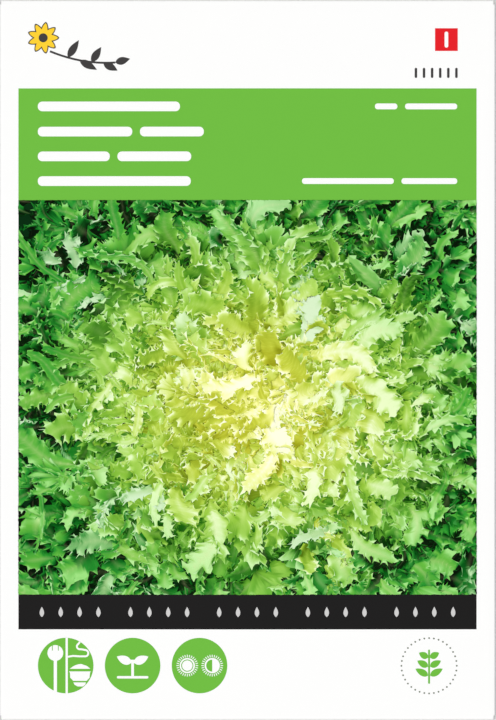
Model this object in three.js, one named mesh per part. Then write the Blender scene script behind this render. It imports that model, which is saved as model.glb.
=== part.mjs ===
// Seed packet: one sheet of coated paper, folded and glued into a flat envelope, with loose seeds
// sealed inside it.
//
// Millimetres. +X is to the right of the printed front, +Y towards the packet's top, and +Z up.
// The packet lies on its back. Its origin is on the surface it lies on, under the middle of its
// outline, so the front faces +Z and the two end flaps touch z = 0.

import * as THREE from "three";

// Driving dimensions of the envelope.
const PACK_WIDTH = 110;
const PACK_HEIGHT = 160;
const PAPER = 0.12;
const GLUE = 0.04;
const GLUE_CLEARANCE = 0.004;
const SEAM_TAB = 12;
const BOTTOM_FLAP = 15;
const TOP_FLAP = 20;
const FLAP_TAPER = 0.09;
const FLAP_CORNER = 6;
const WING_END = 79;
const BACK_EDGE_X = -53;

// How far the filled packet's front stands up from its edges.
const PILLOW_RISE = 1.0;
const SEED_RISE = 1.15;
const SEED_CENTRE = { x: 0, y: -18 };
const SEED_RISE_RADII = { x: 50, y: 56 };

// Levels of the paper's mid-surface, from the table up: end flaps, back panel, seam tab, front.
const FLAP_Z = PAPER / 2;
const BACK_Z = FLAP_Z + PAPER + GLUE;
const TAB_Z = BACK_Z + PAPER + GLUE;
const FRONT_EDGE_Z = 0.8;

// Fold radii of the mid-surface, each half of the step between the two levels that it joins.
const LEFT_FOLD = (FRONT_EDGE_Z - TAB_Z) / 2;
const RIGHT_FOLD = (FRONT_EDGE_Z - BACK_Z) / 2;
const END_FOLD = (FRONT_EDGE_Z - FLAP_Z) / 2;

// Where the flat front ends and each fold starts.
const LEFT_X = -(PACK_WIDTH / 2 - LEFT_FOLD - PAPER / 2);
const RIGHT_X = PACK_WIDTH / 2 - RIGHT_FOLD - PAPER / 2;
const END_Y = PACK_HEIGHT / 2 - END_FOLD - PAPER / 2;

// How finely the sheet is divided.
const FOLD_STEPS = 4;
const FRONT_COLUMNS = 20;
const BACK_COLUMNS = 6;
const TAB_COLUMNS = 2;
const BODY_ROWS = 26;
const FLAP_ROWS = 4;

// Glue strips.
const SEAM_GLUE_WIDTH = 8;
const FLAP_GLUE_MARGIN = 3;
const GLUE_CORNER = 1.5;

// Seeds.
const SEED_LENGTH = 2.7;
const SEED_WIDTH = 1.1;
const SEED_DEPTH = 0.86;
const SEED_SIDES = 8;
const SEED_GAP = 0.03;
const LOOSE_SEEDS = 40;
const HEAP_RADII = { x: 30, y: 27 };
const HEAP_MARGIN = 4.5;
const SEED_SPREAD = { x: 3.5, y: 14 };
const HEAP_EDGE_DEPTH = 0.8;
const HEAP_CROWN = 0.5;
const HEAP_LUMP = 0.12;
const HEAP_RINGS = 10;
const HEAP_SPOKES = 40;

const GOLDEN_ANGLE = Math.PI * (3 - Math.sqrt(5));

const coatedPaper = new THREE.MeshStandardMaterial({ color: 0xf6f6f4, roughness: 0.45, metalness: 0 });
const driedGlue = new THREE.MeshStandardMaterial({ color: 0xe9e4d2, roughness: 0.3, metalness: 0 });
const seedHusk = new THREE.MeshStandardMaterial({ color: 0xb79f73, roughness: 0.8, metalness: 0 });

const packet = new THREE.Group();

/** Adds one closed mesh under a name, and gives it back for placing. */
function addPart(name, geometry, material) {
  const mesh = new THREE.Mesh(geometry, material);
  mesh.name = name;
  packet.add(mesh);
  return mesh;
}

/** A closed, indexed geometry from a flat list of coordinates and a list of triangles. */
function closedGeometry(coordinates, triangles) {
  const geometry = new THREE.BufferGeometry();
  geometry.setAttribute("position", new THREE.Float32BufferAttribute(coordinates, 3));
  geometry.setIndex(triangles);
  return geometry;
}

/** Values from first to last in equal steps, without the first one. */
function stepsTo(first, last, count) {
  return Array.from({ length: count }, (_, step) => first + ((last - first) * (step + 1)) / count);
}

/** A number from 0 to 1 that depends only on its index. */
function scatter(index) {
  const wave = Math.sin(index * 127.1 + 311.7) * 43758.5453;
  return wave - Math.floor(wave);
}

/** Zero with a level slope at t = -1 and 1, and one in the middle. */
function crown(t) {
  return Math.max(0, 1 - t * t) ** 1.5;
}

/** How far the front stands above its edges at a point. */
function frontRise(x, y) {
  const pillow = crown(x / LEFT_X) * crown(y / END_Y);
  const reach =
    ((x - SEED_CENTRE.x) / SEED_RISE_RADII.x) ** 2 + ((y - SEED_CENTRE.y) / SEED_RISE_RADII.y) ** 2;
  return PILLOW_RISE * pillow + SEED_RISE * Math.max(0, 1 - reach) ** 2;
}

/**
 * Where a strip goes that runs level to a fold, turns half round it, and comes back below.
 * past is the length of strip beyond the fold's start. Gives the distance outwards and the drop.
 */
function roundFold(past, radius) {
  const bend = Math.PI * radius;
  if (past <= bend) {
    const turn = past / radius;
    return { out: radius * Math.sin(turn), drop: radius * (1 - Math.cos(turn)) };
  }
  return { out: bend - past, drop: 2 * radius };
}

/** Half the share of its full width that an end flap keeps, at a length past the fold's start. */
function flapShare(past, flap) {
  const length = flap + Math.PI * END_FOLD;
  const taper = 1 - (FLAP_TAPER * past) / length;
  const intoCorner = Math.max(0, past - (length - FLAP_CORNER));
  const corner = FLAP_CORNER - Math.sqrt(Math.max(0, FLAP_CORNER ** 2 - intoCorner ** 2));
  return taper - corner / (PACK_WIDTH / 2);
}

/** The folded place of a point of the flat blank: u across it and v along it. */
function foldedPoint(u, v) {
  if (Math.abs(v) > END_Y) {
    const past = Math.abs(v) - END_Y;
    const { out, drop } = roundFold(past, END_FOLD);
    const share = flapShare(past, v > 0 ? TOP_FLAP : BOTTOM_FLAP);
    return new THREE.Vector3(u * share, Math.sign(v) * (END_Y + out), FRONT_EDGE_Z - drop);
  }
  if (u < LEFT_X) {
    const { out, drop } = roundFold(LEFT_X - u, LEFT_FOLD);
    return new THREE.Vector3(LEFT_X - out, v, FRONT_EDGE_Z - drop);
  }
  if (u > RIGHT_X) {
    const { out, drop } = roundFold(u - RIGHT_X, RIGHT_FOLD);
    return new THREE.Vector3(RIGHT_X + out, v, FRONT_EDGE_Z - drop);
  }
  return new THREE.Vector3(u, v, FRONT_EDGE_Z + frontRise(u, v));
}

/** The outward direction of the printed side at a point of the blank. */
function printedNormal(u, v) {
  const step = 0.001;
  const across = foldedPoint(u + step, v).sub(foldedPoint(u - step, v));
  const along = foldedPoint(u, v + step).sub(foldedPoint(u, v - step));
  return across.cross(along).normalize();
}

/** The lines that divide the blank across its width, from the seam tab to the back panel's edge. */
function blankColumns() {
  const tabEdge = LEFT_X - Math.PI * LEFT_FOLD - SEAM_TAB;
  const backStart = RIGHT_X + Math.PI * RIGHT_FOLD;
  return [
    tabEdge,
    ...stepsTo(tabEdge, LEFT_X - Math.PI * LEFT_FOLD, TAB_COLUMNS),
    ...stepsTo(LEFT_X - Math.PI * LEFT_FOLD, LEFT_X, FOLD_STEPS),
    ...stepsTo(LEFT_X, RIGHT_X, FRONT_COLUMNS),
    ...stepsTo(RIGHT_X, backStart, FOLD_STEPS),
    ...stepsTo(backStart, backStart + RIGHT_X - BACK_EDGE_X, BACK_COLUMNS),
  ];
}

/** The lines that divide the blank along its height, from the bottom flap to the top flap. */
function blankRows() {
  const bend = Math.PI * END_FOLD;
  const flapLines = (flap) => [
    END_Y,
    ...stepsTo(END_Y, END_Y + bend, FOLD_STEPS),
    ...stepsTo(END_Y + bend, END_Y + bend + flap - FLAP_CORNER, FLAP_ROWS / 2),
    ...stepsTo(END_Y + bend + flap - FLAP_CORNER, END_Y + bend + flap, FLAP_ROWS / 2),
  ];
  return [
    ...flapLines(BOTTOM_FLAP).map((v) => -v).reverse(),
    -WING_END,
    ...stepsTo(-WING_END, WING_END, BODY_ROWS),
    ...flapLines(TOP_FLAP),
  ];
}

/** The folded sheet as one closed solid with a wall round its cut edge. */
function foldedSheet() {
  const columns = blankColumns();
  const rows = blankRows();
  const coordinates = [];
  const triangles = [];
  for (const side of [0.5, -0.5]) {
    for (const v of rows) {
      for (const u of columns) {
        const point = foldedPoint(u, v).addScaledVector(printedNormal(u, v), side * PAPER);
        coordinates.push(point.x, point.y, point.z);
      }
    }
  }
  const under = columns.length * rows.length;
  const corner = (column, row) => row * columns.length + column;
  const middle = (lines, index) => (lines[index] + lines[index + 1]) / 2;
  const hasPaper = (column, row) => {
    if (column < 0 || row < 0 || column > columns.length - 2 || row > rows.length - 2) {
      return false;
    }
    const onFront = middle(columns, column) > LEFT_X && middle(columns, column) < RIGHT_X;
    return onFront || Math.abs(middle(rows, row)) < WING_END;
  };
  const wall = (from, to) => {
    triangles.push(from, from + under, to + under, from, to + under, to);
  };
  for (let row = 0; row < rows.length - 1; row += 1) {
    for (let column = 0; column < columns.length - 1; column += 1) {
      if (!hasPaper(column, row)) {
        continue;
      }
      const a = corner(column, row);
      const b = corner(column + 1, row);
      const c = corner(column + 1, row + 1);
      const d = corner(column, row + 1);
      triangles.push(a, b, c, a, c, d);
      triangles.push(a + under, c + under, b + under, a + under, d + under, c + under);
      if (!hasPaper(column, row - 1)) wall(a, b);
      if (!hasPaper(column + 1, row)) wall(b, c);
      if (!hasPaper(column, row + 1)) wall(c, d);
      if (!hasPaper(column - 1, row)) wall(d, a);
    }
  }
  return closedGeometry(coordinates, triangles);
}

/** A thin strip of dried glue with rounded corners, between two levels of paper. */
function glueStrip(width, height) {
  const thickness = GLUE - 2 * GLUE_CLEARANCE;
  const outline = new THREE.Shape();
  const x = width / 2;
  const y = height / 2;
  outline.moveTo(x, y - GLUE_CORNER);
  outline.absarc(x - GLUE_CORNER, y - GLUE_CORNER, GLUE_CORNER, 0, Math.PI / 2);
  outline.absarc(GLUE_CORNER - x, y - GLUE_CORNER, GLUE_CORNER, Math.PI / 2, Math.PI);
  outline.absarc(GLUE_CORNER - x, GLUE_CORNER - y, GLUE_CORNER, Math.PI, 1.5 * Math.PI);
  outline.absarc(x - GLUE_CORNER, GLUE_CORNER - y, GLUE_CORNER, 1.5 * Math.PI, 2 * Math.PI);
  return new THREE.ExtrudeGeometry(outline, {
    depth: thickness,
    bevelEnabled: false,
    curveSegments: 4,
  });
}

/** The seam's glue strip and the two flaps' glue strips. */
function addGlue() {
  const seamHeight = 2 * WING_END - 2 * FLAP_GLUE_MARGIN;
  const seamX = LEFT_X + SEAM_TAB - SEAM_GLUE_WIDTH / 2 - 1;
  const aboveBack = BACK_Z + PAPER / 2 + GLUE_CLEARANCE;
  const seam = addPart("seam_glue", glueStrip(SEAM_GLUE_WIDTH, seamHeight), driedGlue);
  seam.position.set(seamX, 0, aboveBack);
  const flapWidth = PACK_WIDTH * (1 - FLAP_TAPER) - 2 * FLAP_CORNER;
  const ends = [
    { name: "bottom_flap_glue", flap: BOTTOM_FLAP, way: -1 },
    { name: "top_flap_glue", flap: TOP_FLAP, way: 1 },
  ];
  for (const { name, flap, way } of ends) {
    const strip = addPart(name, glueStrip(flapWidth, flap - 2 * FLAP_GLUE_MARGIN), driedGlue);
    strip.position.set(0, way * (END_Y - flap / 2), FLAP_Z + PAPER / 2 + GLUE_CLEARANCE);
  }
}

/** One seed lying along +X: narrow at its foot, ribbed, blunt and rimmed at its top. */
function seedGeometry(length, width, depth) {
  const stations = [
    { along: 0, share: 0.34 },
    { along: 0.16, share: 0.58 },
    { along: 0.48, share: 0.88 },
    { along: 0.8, share: 1 },
    { along: 0.93, share: 0.9 },
    { along: 1, share: 0.98 },
  ];
  const ribDepth = 0.12;
  const coordinates = [];
  const triangles = [];
  for (const { along, share } of stations) {
    for (let side = 0; side < SEED_SIDES; side += 1) {
      const turn = (2 * Math.PI * side) / SEED_SIDES;
      const radius = (share * (side % 2 ? 1 - ribDepth : 1)) / 2;
      coordinates.push((along - 0.5) * length, radius * width * Math.cos(turn), radius * depth * Math.sin(turn));
    }
  }
  for (let station = 0; station < stations.length - 1; station += 1) {
    for (let side = 0; side < SEED_SIDES; side += 1) {
      const next = (side + 1) % SEED_SIDES;
      const a = station * SEED_SIDES + side;
      const b = station * SEED_SIDES + next;
      triangles.push(a, b + SEED_SIDES, a + SEED_SIDES, a, b, b + SEED_SIDES);
    }
  }
  const top = (stations.length - 1) * SEED_SIDES;
  const foot = coordinates.length / 3;
  const cup = foot + 1;
  coordinates.push(-0.53 * length, 0, 0, 0.46 * length, 0, 0);
  for (let side = 0; side < SEED_SIDES; side += 1) {
    const next = (side + 1) % SEED_SIDES;
    triangles.push(foot, next, side, cup, top + side, top + next);
  }
  return closedGeometry(coordinates, triangles);
}

/** Level that the seeds lie on, just clear of the back panel's inner face. */
function seedFloor() {
  return BACK_Z + PAPER / 2 + SEED_GAP;
}

/** Loose seeds scattered round the heap, one mesh each. */
function addLooseSeeds() {
  for (let index = 0; index < LOOSE_SEEDS; index += 1) {
    const growth = 0.9 + 0.2 * scatter(index);
    const geometry = seedGeometry(SEED_LENGTH * growth, SEED_WIDTH, SEED_DEPTH * (0.92 + 0.08 * growth));
    geometry.computeBoundingBox();
    const outwards = scatter(index + LOOSE_SEEDS);
    const turn = (2 * Math.PI * (index + 0.3 * scatter(index + 2 * LOOSE_SEEDS))) / LOOSE_SEEDS;
    const number = String(index + 1).padStart(2, "0");
    const seed = addPart(`seed_${number}`, geometry, seedHusk);
    seed.position.set(
      SEED_CENTRE.x + (HEAP_RADII.x + HEAP_MARGIN + outwards * SEED_SPREAD.x) * Math.cos(turn),
      SEED_CENTRE.y + (HEAP_RADII.y + HEAP_MARGIN + outwards * SEED_SPREAD.y) * Math.sin(turn),
      seedFloor() - geometry.boundingBox.min.z,
    );
    seed.rotation.z = index * GOLDEN_ANGLE;
  }
}

/** The rest of the seeds, joined in one lumpy solid a seed or two deep. */
function seedHeap() {
  const floor = seedFloor();
  const coordinates = [];
  const triangles = [];
  const heapPoint = (share, turn) => {
    const wave = 1 + 0.05 * Math.sin(3 * turn + 1) + 0.03 * Math.sin(7 * turn);
    return {
      x: SEED_CENTRE.x + share * wave * HEAP_RADII.x * Math.cos(turn),
      y: SEED_CENTRE.y + share * wave * HEAP_RADII.y * Math.sin(turn),
    };
  };
  coordinates.push(SEED_CENTRE.x, SEED_CENTRE.y, floor + HEAP_EDGE_DEPTH + HEAP_CROWN);
  for (let ring = 1; ring <= HEAP_RINGS; ring += 1) {
    for (let spoke = 0; spoke < HEAP_SPOKES; spoke += 1) {
      const share = ring / HEAP_RINGS;
      const { x, y } = heapPoint(share, (2 * Math.PI * (spoke + (ring % 2) / 2)) / HEAP_SPOKES);
      const lump = HEAP_LUMP * (2 * scatter(ring * HEAP_SPOKES + spoke) - 1);
      coordinates.push(x, y, floor + HEAP_EDGE_DEPTH + HEAP_CROWN * (1 - share ** 2) + lump);
    }
  }
  const rim = 1 + (HEAP_RINGS - 1) * HEAP_SPOKES;
  for (let spoke = 0; spoke < HEAP_SPOKES; spoke += 1) {
    coordinates.push(coordinates[3 * (rim + spoke)], coordinates[3 * (rim + spoke) + 1], floor);
  }
  const middle = coordinates.length / 3;
  coordinates.push(SEED_CENTRE.x, SEED_CENTRE.y, floor);
  for (let spoke = 0; spoke < HEAP_SPOKES; spoke += 1) {
    const next = (spoke + 1) % HEAP_SPOKES;
    triangles.push(0, 1 + spoke, 1 + next);
    for (let ring = 0; ring < HEAP_RINGS; ring += 1) {
      const inner = 1 + ring * HEAP_SPOKES;
      const outer = inner + HEAP_SPOKES;
      triangles.push(inner + spoke, outer + spoke, outer + next, inner + spoke, outer + next, inner + next);
    }
    triangles.push(middle, middle - HEAP_SPOKES + next, middle - HEAP_SPOKES + spoke);
  }
  return closedGeometry(coordinates, triangles);
}

addPart("paper_envelope", foldedSheet(), coatedPaper);
addGlue();
addPart("seed_heap", seedHeap(), seedHusk);
addLooseSeeds();

export default packet;
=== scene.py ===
"""Looks of a seed packet: coated paper, films of ink, a leafy picture, glue and the seeds inside.

Metres, in the packet's own frame: +X right, +Y towards its top, +Z up out of its printed front.
"""

import logging
import math
from collections.abc import Callable, Iterator, Sequence
from contextlib import contextmanager
from dataclasses import dataclass, field
from enum import Enum
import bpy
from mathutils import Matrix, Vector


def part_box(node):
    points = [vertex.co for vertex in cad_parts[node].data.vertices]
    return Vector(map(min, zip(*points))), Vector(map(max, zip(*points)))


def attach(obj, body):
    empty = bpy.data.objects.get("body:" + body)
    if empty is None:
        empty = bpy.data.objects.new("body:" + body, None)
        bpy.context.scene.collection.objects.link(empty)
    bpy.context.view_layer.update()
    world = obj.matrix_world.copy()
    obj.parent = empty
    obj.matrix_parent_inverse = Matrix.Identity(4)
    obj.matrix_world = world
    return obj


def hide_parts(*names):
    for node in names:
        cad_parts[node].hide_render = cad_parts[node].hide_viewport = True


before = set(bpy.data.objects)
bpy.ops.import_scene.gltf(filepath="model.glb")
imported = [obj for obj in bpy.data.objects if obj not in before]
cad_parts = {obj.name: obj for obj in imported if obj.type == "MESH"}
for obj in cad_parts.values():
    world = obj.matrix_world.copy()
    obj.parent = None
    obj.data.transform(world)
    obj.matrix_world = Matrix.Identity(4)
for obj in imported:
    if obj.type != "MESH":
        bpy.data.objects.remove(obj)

from fnmatch import fnmatch
from functools import partial
from typing import Self

import bpy
import numpy as np
from mathutils import Vector

LOG = logging.getLogger("seed_packet")
MM = 0.001
ROOT = "root"

Colour = tuple[float, float, float]
Piece = bpy.types.Object
Place = tuple[float, float]
Points = np.ndarray
Range = tuple[float, float]
Socket = bpy.types.NodeSocket
Sockets = bpy.types.bpy_prop_collection


# ---------------- modelling helpers


def linear(red: int, green: int, blue: int) -> Colour:
    """Scene-linear colour of a print colour, whose parts run from 0 to 255."""
    shares = (value / 255 for value in (red, green, blue))
    return tuple(s / 12.92 if s <= 0.04045 else ((s + 0.055) / 1.055) ** 2.4 for s in shares)


def turned(x: Points, y: Points, turn: Points) -> tuple[Points, Points]:
    """Places turned anticlockwise about the origin."""
    return x * np.cos(turn) - y * np.sin(turn), x * np.sin(turn) + y * np.cos(turn)


def select_only(*pieces: Piece) -> None:
    """Selects some objects and nothing else.

    Args:
        pieces: The objects; the first becomes the active one.
    """
    bpy.ops.object.select_all(action="DESELECT")
    for piece in pieces:
        piece.select_set(True)
    bpy.context.view_layer.objects.active = pieces[0]


def started(add: Callable[..., set[str]], **options: object) -> Piece:
    """Adds a primitive with nothing else selected.

    Args:
        add: The primitive's operator.
        options: What the operator takes.

    Returns:
        The new object.
    """
    bpy.ops.object.select_all(action="DESELECT")
    add(**options)
    return bpy.context.active_object


def settle(piece: Piece) -> None:
    """Puts an object's place, turn and size into its mesh."""
    select_only(piece)
    bpy.ops.object.transform_apply(location=True, rotation=True, scale=True)


def apply_modifier(piece: Piece, kind: str, **settings: object) -> None:
    """Applies one modifier.

    Args:
        piece: The object it works on.
        kind: The modifier's type.
        settings: Its settings.
    """
    select_only(piece)
    modifier = piece.modifiers.new(kind.title(), kind)
    for key, value in settings.items():
        setattr(modifier, key, value)
    bpy.ops.object.modifier_apply(modifier=modifier.name)


def smooth(piece: Piece, degrees: float) -> None:
    """Shades an object smooth wherever its faces meet at less than an angle."""
    select_only(piece)
    bpy.ops.object.shade_smooth_by_angle(angle=math.radians(degrees))


class Items(Enum):
    """What is selected in edit mode."""

    CORNERS = "VERT"
    FACES = "FACE"


@contextmanager
def editing(
    piece: Piece, chosen: Sequence[bool] | None = None, items: Items = Items.FACES
) -> Iterator[None]:
    """Keeps an object in edit mode, with some of it selected, for as long as a with block runs.

    Args:
        piece: The object.
        chosen: One truth value for each corner or face, or nothing for all of them.
        items: Whether corners or faces are chosen.

    Returns:
        What a with statement takes.
    """
    select_only(piece)
    bpy.ops.object.mode_set(mode="EDIT")
    bpy.ops.mesh.select_mode(type=items.value)
    bpy.ops.mesh.select_all(action="SELECT" if chosen is None else "DESELECT")
    if chosen is not None:
        bpy.ops.object.mode_set(mode="OBJECT")
        parts = piece.data.vertices if items is Items.CORNERS else piece.data.polygons
        parts.foreach_set("select", np.asarray(chosen, bool))
        bpy.ops.object.mode_set(mode="EDIT")
    yield
    bpy.ops.object.mode_set(mode="OBJECT")


def mesh_piece(name: str, points: Points, triangles: np.ndarray) -> Piece:
    """Makes an object from arrays, for forms that no operator gives.

    Args:
        name: The object's name.
        points: Corner positions, one row each.
        triangles: Three corner indices per row.

    Returns:
        The new object, in the scene.
    """
    mesh = bpy.data.meshes.new(name)
    mesh.from_pydata(points, [], triangles, shade_flat=False)
    piece = bpy.data.objects.new(name, mesh)
    bpy.context.collection.objects.link(piece)
    return piece


# ---------------- finishes


class Nodes:
    """A node tree with short ways to add and join nodes."""

    def __init__(self, tree: bpy.types.NodeTree) -> None:
        """Takes the tree that the nodes go in."""
        self.tree = tree

    def add(self, kind: str, **values: object) -> bpy.types.Node:
        """Adds a node.

        Args:
            kind: The node's type.
            values: Its properties, or the numbers and colours of its input sockets.

        Returns:
            The new node.
        """
        node = self.tree.nodes.new(kind)
        for key, value in values.items():
            socket = key.replace("_", " ")
            if socket in node.inputs:
                node.inputs[socket].default_value = value
            else:
                setattr(node, key, value)
        return node

    def join(self, source: Socket, target: Socket) -> None:
        """Links one socket to another."""
        self.tree.links.new(source, target)

    def noise(self, scale: float, detail: float = 2.0, roughness: float = 0.5) -> Socket:
        """Adds a noise that lies in the piece's own coordinates.

        Args:
            scale: Its scale.
            detail: How many finer noises are added to it.
            roughness: How strong those are.

        Returns:
            Its value.
        """
        place = self.add("ShaderNodeTexCoord")
        noise = self.add("ShaderNodeTexNoise", Scale=scale, Detail=detail, Roughness=roughness)
        self.join(place.outputs["Object"], noise.inputs["Vector"])
        return noise.outputs["Fac"]

    def maths(self, operation: str, first: object, second: object) -> Socket:
        """Adds a Math node.

        Args:
            operation: What it does.
            first: A socket or a number.
            second: A socket or a number.

        Returns:
            Its result.
        """
        node = self.add("ShaderNodeMath", operation=operation)
        for socket, value in zip(node.inputs, (first, second)):
            if isinstance(value, Socket):
                self.join(value, socket)
            else:
                socket.default_value = value
        return node.outputs[0]


@dataclass(frozen=True)
class StockGroup:
    """The node group of coated paper stock, which tints, roughens and raises what is on it."""

    name: str = "coated_stock"
    clouds: tuple[float, float, float] = (90.0, 3.0, 0.6)  # scale, detail and roughness
    fibres: tuple[float, float, float] = (2600.0, 2.0, 0.7)  # the same
    unevenness: float = 0.12  # of the gloss

    def tree(self) -> bpy.types.NodeTree:
        """Gives the group, and builds it where there is none yet.

        Returns:
            A group with a colour in, and a colour, a roughness and a height out.
        """
        if self.name in bpy.data.node_groups:
            return bpy.data.node_groups[self.name]
        tree = bpy.data.node_groups.new(self.name, "ShaderNodeTree")
        sockets = {"INPUT": ("Colour", "Mottle", "Roughness"), "OUTPUT": ("Colour", "Roughness", "Height")}
        for way, labels in sockets.items():
            for label in labels:
                kind = "NodeSocketColor" if label == "Colour" else "NodeSocketFloat"
                tree.interface.new_socket(label, in_out=way, socket_type=kind)
        nodes = Nodes(tree)
        given, result = nodes.add("NodeGroupInput").outputs, nodes.add("NodeGroupOutput").inputs
        cloud, fibre = nodes.noise(*self.clouds), nodes.noise(*self.fibres)
        swing = nodes.maths("MULTIPLY", nodes.maths("SUBTRACT", cloud, 0.5), given["Mottle"])
        tint = nodes.add("ShaderNodeHueSaturation")
        nodes.join(given["Colour"], tint.inputs["Color"])
        nodes.join(nodes.maths("ADD", swing, 1.0), tint.inputs["Value"])
        nodes.join(tint.outputs["Color"], result["Colour"])
        uneven = nodes.maths("MULTIPLY", nodes.maths("SUBTRACT", fibre, 0.5), self.unevenness)
        nodes.join(nodes.maths("ADD", given["Roughness"], uneven), result["Roughness"])
        nodes.join(fibre, result["Height"])
        return tree


STOCK = StockGroup()


@dataclass(frozen=True)
class Finish:
    """What all finishes share: a material that is built once."""

    name: str
    colour: Colour

    def material(self) -> bpy.types.Material:
        """Gives the material, and builds it where there is none yet.

        Returns:
            The material.
        """
        if self.name in bpy.data.materials:
            return bpy.data.materials[self.name]
        made = bpy.data.materials.new(self.name)
        made.use_nodes = True
        made.diffuse_color = (*self.colour, 1)
        made.node_tree.nodes.clear()
        nodes = Nodes(made.node_tree)
        shader, bump = nodes.add("ShaderNodeBsdfPrincipled"), nodes.add("ShaderNodeBump")
        self.dress(nodes, shader.inputs, bump.inputs)
        nodes.join(bump.outputs["Normal"], shader.inputs["Normal"])
        output = nodes.add("ShaderNodeOutputMaterial")
        nodes.join(shader.outputs["BSDF"], output.inputs["Surface"])
        return made

    def dress(self, nodes: Nodes, shader: Sockets, bump: Sockets) -> None:
        """Sets and feeds the inputs of the shader and of the bump that raises it."""
        raise NotImplementedError


@dataclass(frozen=True)
class StockFinish(Finish):
    """Paper or a flat ink on it, mottled and fibrous as coated stock is."""

    mottle: float = 0.03  # swing of the colour, as a share
    roughness: float = 0.42
    specular: float = 0.3
    relief: float = 0.004 * MM  # height of the fibres

    def dress(self, nodes: Nodes, shader: Sockets, bump: Sockets) -> None:
        """Feeds the shader and the bump from the group of coated stock.

        Args:
            nodes: The material's nodes.
            shader: The shader's inputs.
            bump: The bump's inputs.
        """
        stock = nodes.add(
            "ShaderNodeGroup", node_tree=STOCK.tree(), Mottle=self.mottle, Roughness=self.roughness
        )
        self.ink(nodes, stock.inputs["Colour"])
        shader["Specular IOR Level"].default_value = self.specular
        bump["Distance"].default_value = self.relief
        nodes.join(stock.outputs["Colour"], shader["Base Color"])
        nodes.join(stock.outputs["Roughness"], shader["Roughness"])
        nodes.join(stock.outputs["Height"], bump["Height"])

    def ink(self, nodes: Nodes, target: Socket) -> None:
        """Gives the stock one colour all over."""
        target.default_value = (*self.colour, 1)


@dataclass(frozen=True)
class PictureFinish(StockFinish):
    """Ink of a picture, whose colours lie in an attribute of the mesh."""

    layer: str = "ink"  # name of the mesh's attribute

    def ink(self, nodes: Nodes, target: Socket) -> None:
        """Gives the stock the mesh's own colours."""
        nodes.join(nodes.add("ShaderNodeVertexColor", layer_name=self.layer).outputs["Color"], target)


@dataclass(frozen=True)
class HuskFinish(Finish):
    """Dry seed husk, streaked along its ribs and blotched from seed to seed."""

    dark: Colour
    roughness: float = 0.75
    blotches: float = 420.0  # scale
    streaks: float = 3800.0  # scale
    streak_share: float = 0.5  # how much the streaks count beside the blotches
    bump: float = 0.6
    relief: float = 0.08 * MM  # height of the streaks

    def dress(self, nodes: Nodes, shader: Sockets, bump: Sockets) -> None:
        """Mixes the pale and the dark colour by blotches and streaks.

        Args:
            nodes: The material's nodes.
            shader: The shader's inputs.
            bump: The bump's inputs.
        """
        blotch, streak = nodes.noise(self.blotches), nodes.noise(self.streaks)
        both = nodes.maths("ADD", blotch, nodes.maths("MULTIPLY", streak, self.streak_share))
        blend = nodes.add("ShaderNodeMix", data_type="RGBA", A=(*self.dark, 1), B=(*self.colour, 1))
        nodes.join(nodes.maths("SUBTRACT", both, 0.5 * self.streak_share), blend.inputs["Factor"])
        nodes.join(blend.outputs["Result"], shader["Base Color"])
        shader["Roughness"].default_value = self.roughness
        bump["Strength"].default_value = self.bump
        bump["Distance"].default_value = self.relief
        nodes.join(streak, bump["Height"])


PAPER_WHITE = StockFinish("coated_paper_white", linear(249, 249, 248), mottle=0.008, specular=0.25)
HEADER_GREEN = StockFinish("leaf_green_ink", linear(108, 186, 59), roughness=0.34)
BAND_BLACK = StockFinish("black_ink", linear(24, 23, 23), roughness=0.5, specular=0.1)
MARK_RED = StockFinish("red_ink", linear(226, 4, 23))
KNOCKOUT_WHITE = StockFinish("white_in_print", linear(249, 249, 248), mottle=0.008)
BAND_GREY = StockFinish("pale_grey_ink", linear(205, 204, 203))
FINE_BLACK = StockFinish("fine_black_ink", linear(60, 58, 58), specular=0.2)
DOT_OLIVE = StockFinish("olive_grey_ink", linear(112, 120, 104))
BLOSSOM_YELLOW = StockFinish("yellow_ink", linear(250, 206, 40))
GROUND_GREEN = StockFinish("shadow_green_ink", linear(2, 42, 12), mottle=0.5, roughness=0.5, specular=0.04)
GROUND_OLIVE = StockFinish("shadow_olive_ink", linear(104, 112, 16), mottle=0.5, roughness=0.5, specular=0.04)
PICTURE_INK = PictureFinish("picture_ink", linear(120, 176, 80), mottle=0.02, roughness=0.5, specular=0.04)
SEED_HUSK = HuskFinish("dry_husk", linear(205, 182, 138), linear(128, 98, 58))
DRIED_GLUE = StockFinish("set_glue", linear(232, 226, 205), mottle=0.1, roughness=0.3, relief=0.03 * MM)
PALE_FLOOR = StockFinish("pale_floor", linear(222, 222, 221), mottle=0.02, roughness=0.7, specular=0.1)


# ---------------- the folded sheet


def crown(t: Points) -> Points:
    """Zero with a level slope at t = -1 and 1, and one in the middle."""
    return np.clip(1 - t * t, 0, None) ** 1.5


@dataclass(frozen=True)
class Ripple:
    """One even wave in the paper."""

    turn: float  # of the way it runs, from +X
    length: float
    height: float
    phase: float

    def rise(self, x: Points, y: Points) -> Points:
        """Its height at some places."""
        along = (x * math.cos(self.turn) + y * math.sin(self.turn)) / self.length
        return self.height * np.sin(2 * math.pi * along + self.phase)


SLACK_PAPER = (
    Ripple(0.5, 46 * MM, 0.05 * MM, 1.5),
    Ripple(1.9, 37 * MM, 0.04 * MM, 5.7),
    Ripple(2.6, 29 * MM, 0.03 * MM, 7.8),
)
SEED_PRINTS = (
    Ripple(0.3, 7.1 * MM, 0.005 * MM, 1.5),
    Ripple(1.2, 8.3 * MM, 0.006 * MM, 6.0),
    Ripple(2.2, 6.7 * MM, 0.005 * MM, 11.0),
    Ripple(2.9, 9.7 * MM, 0.007 * MM, 14.5),
)


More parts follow.
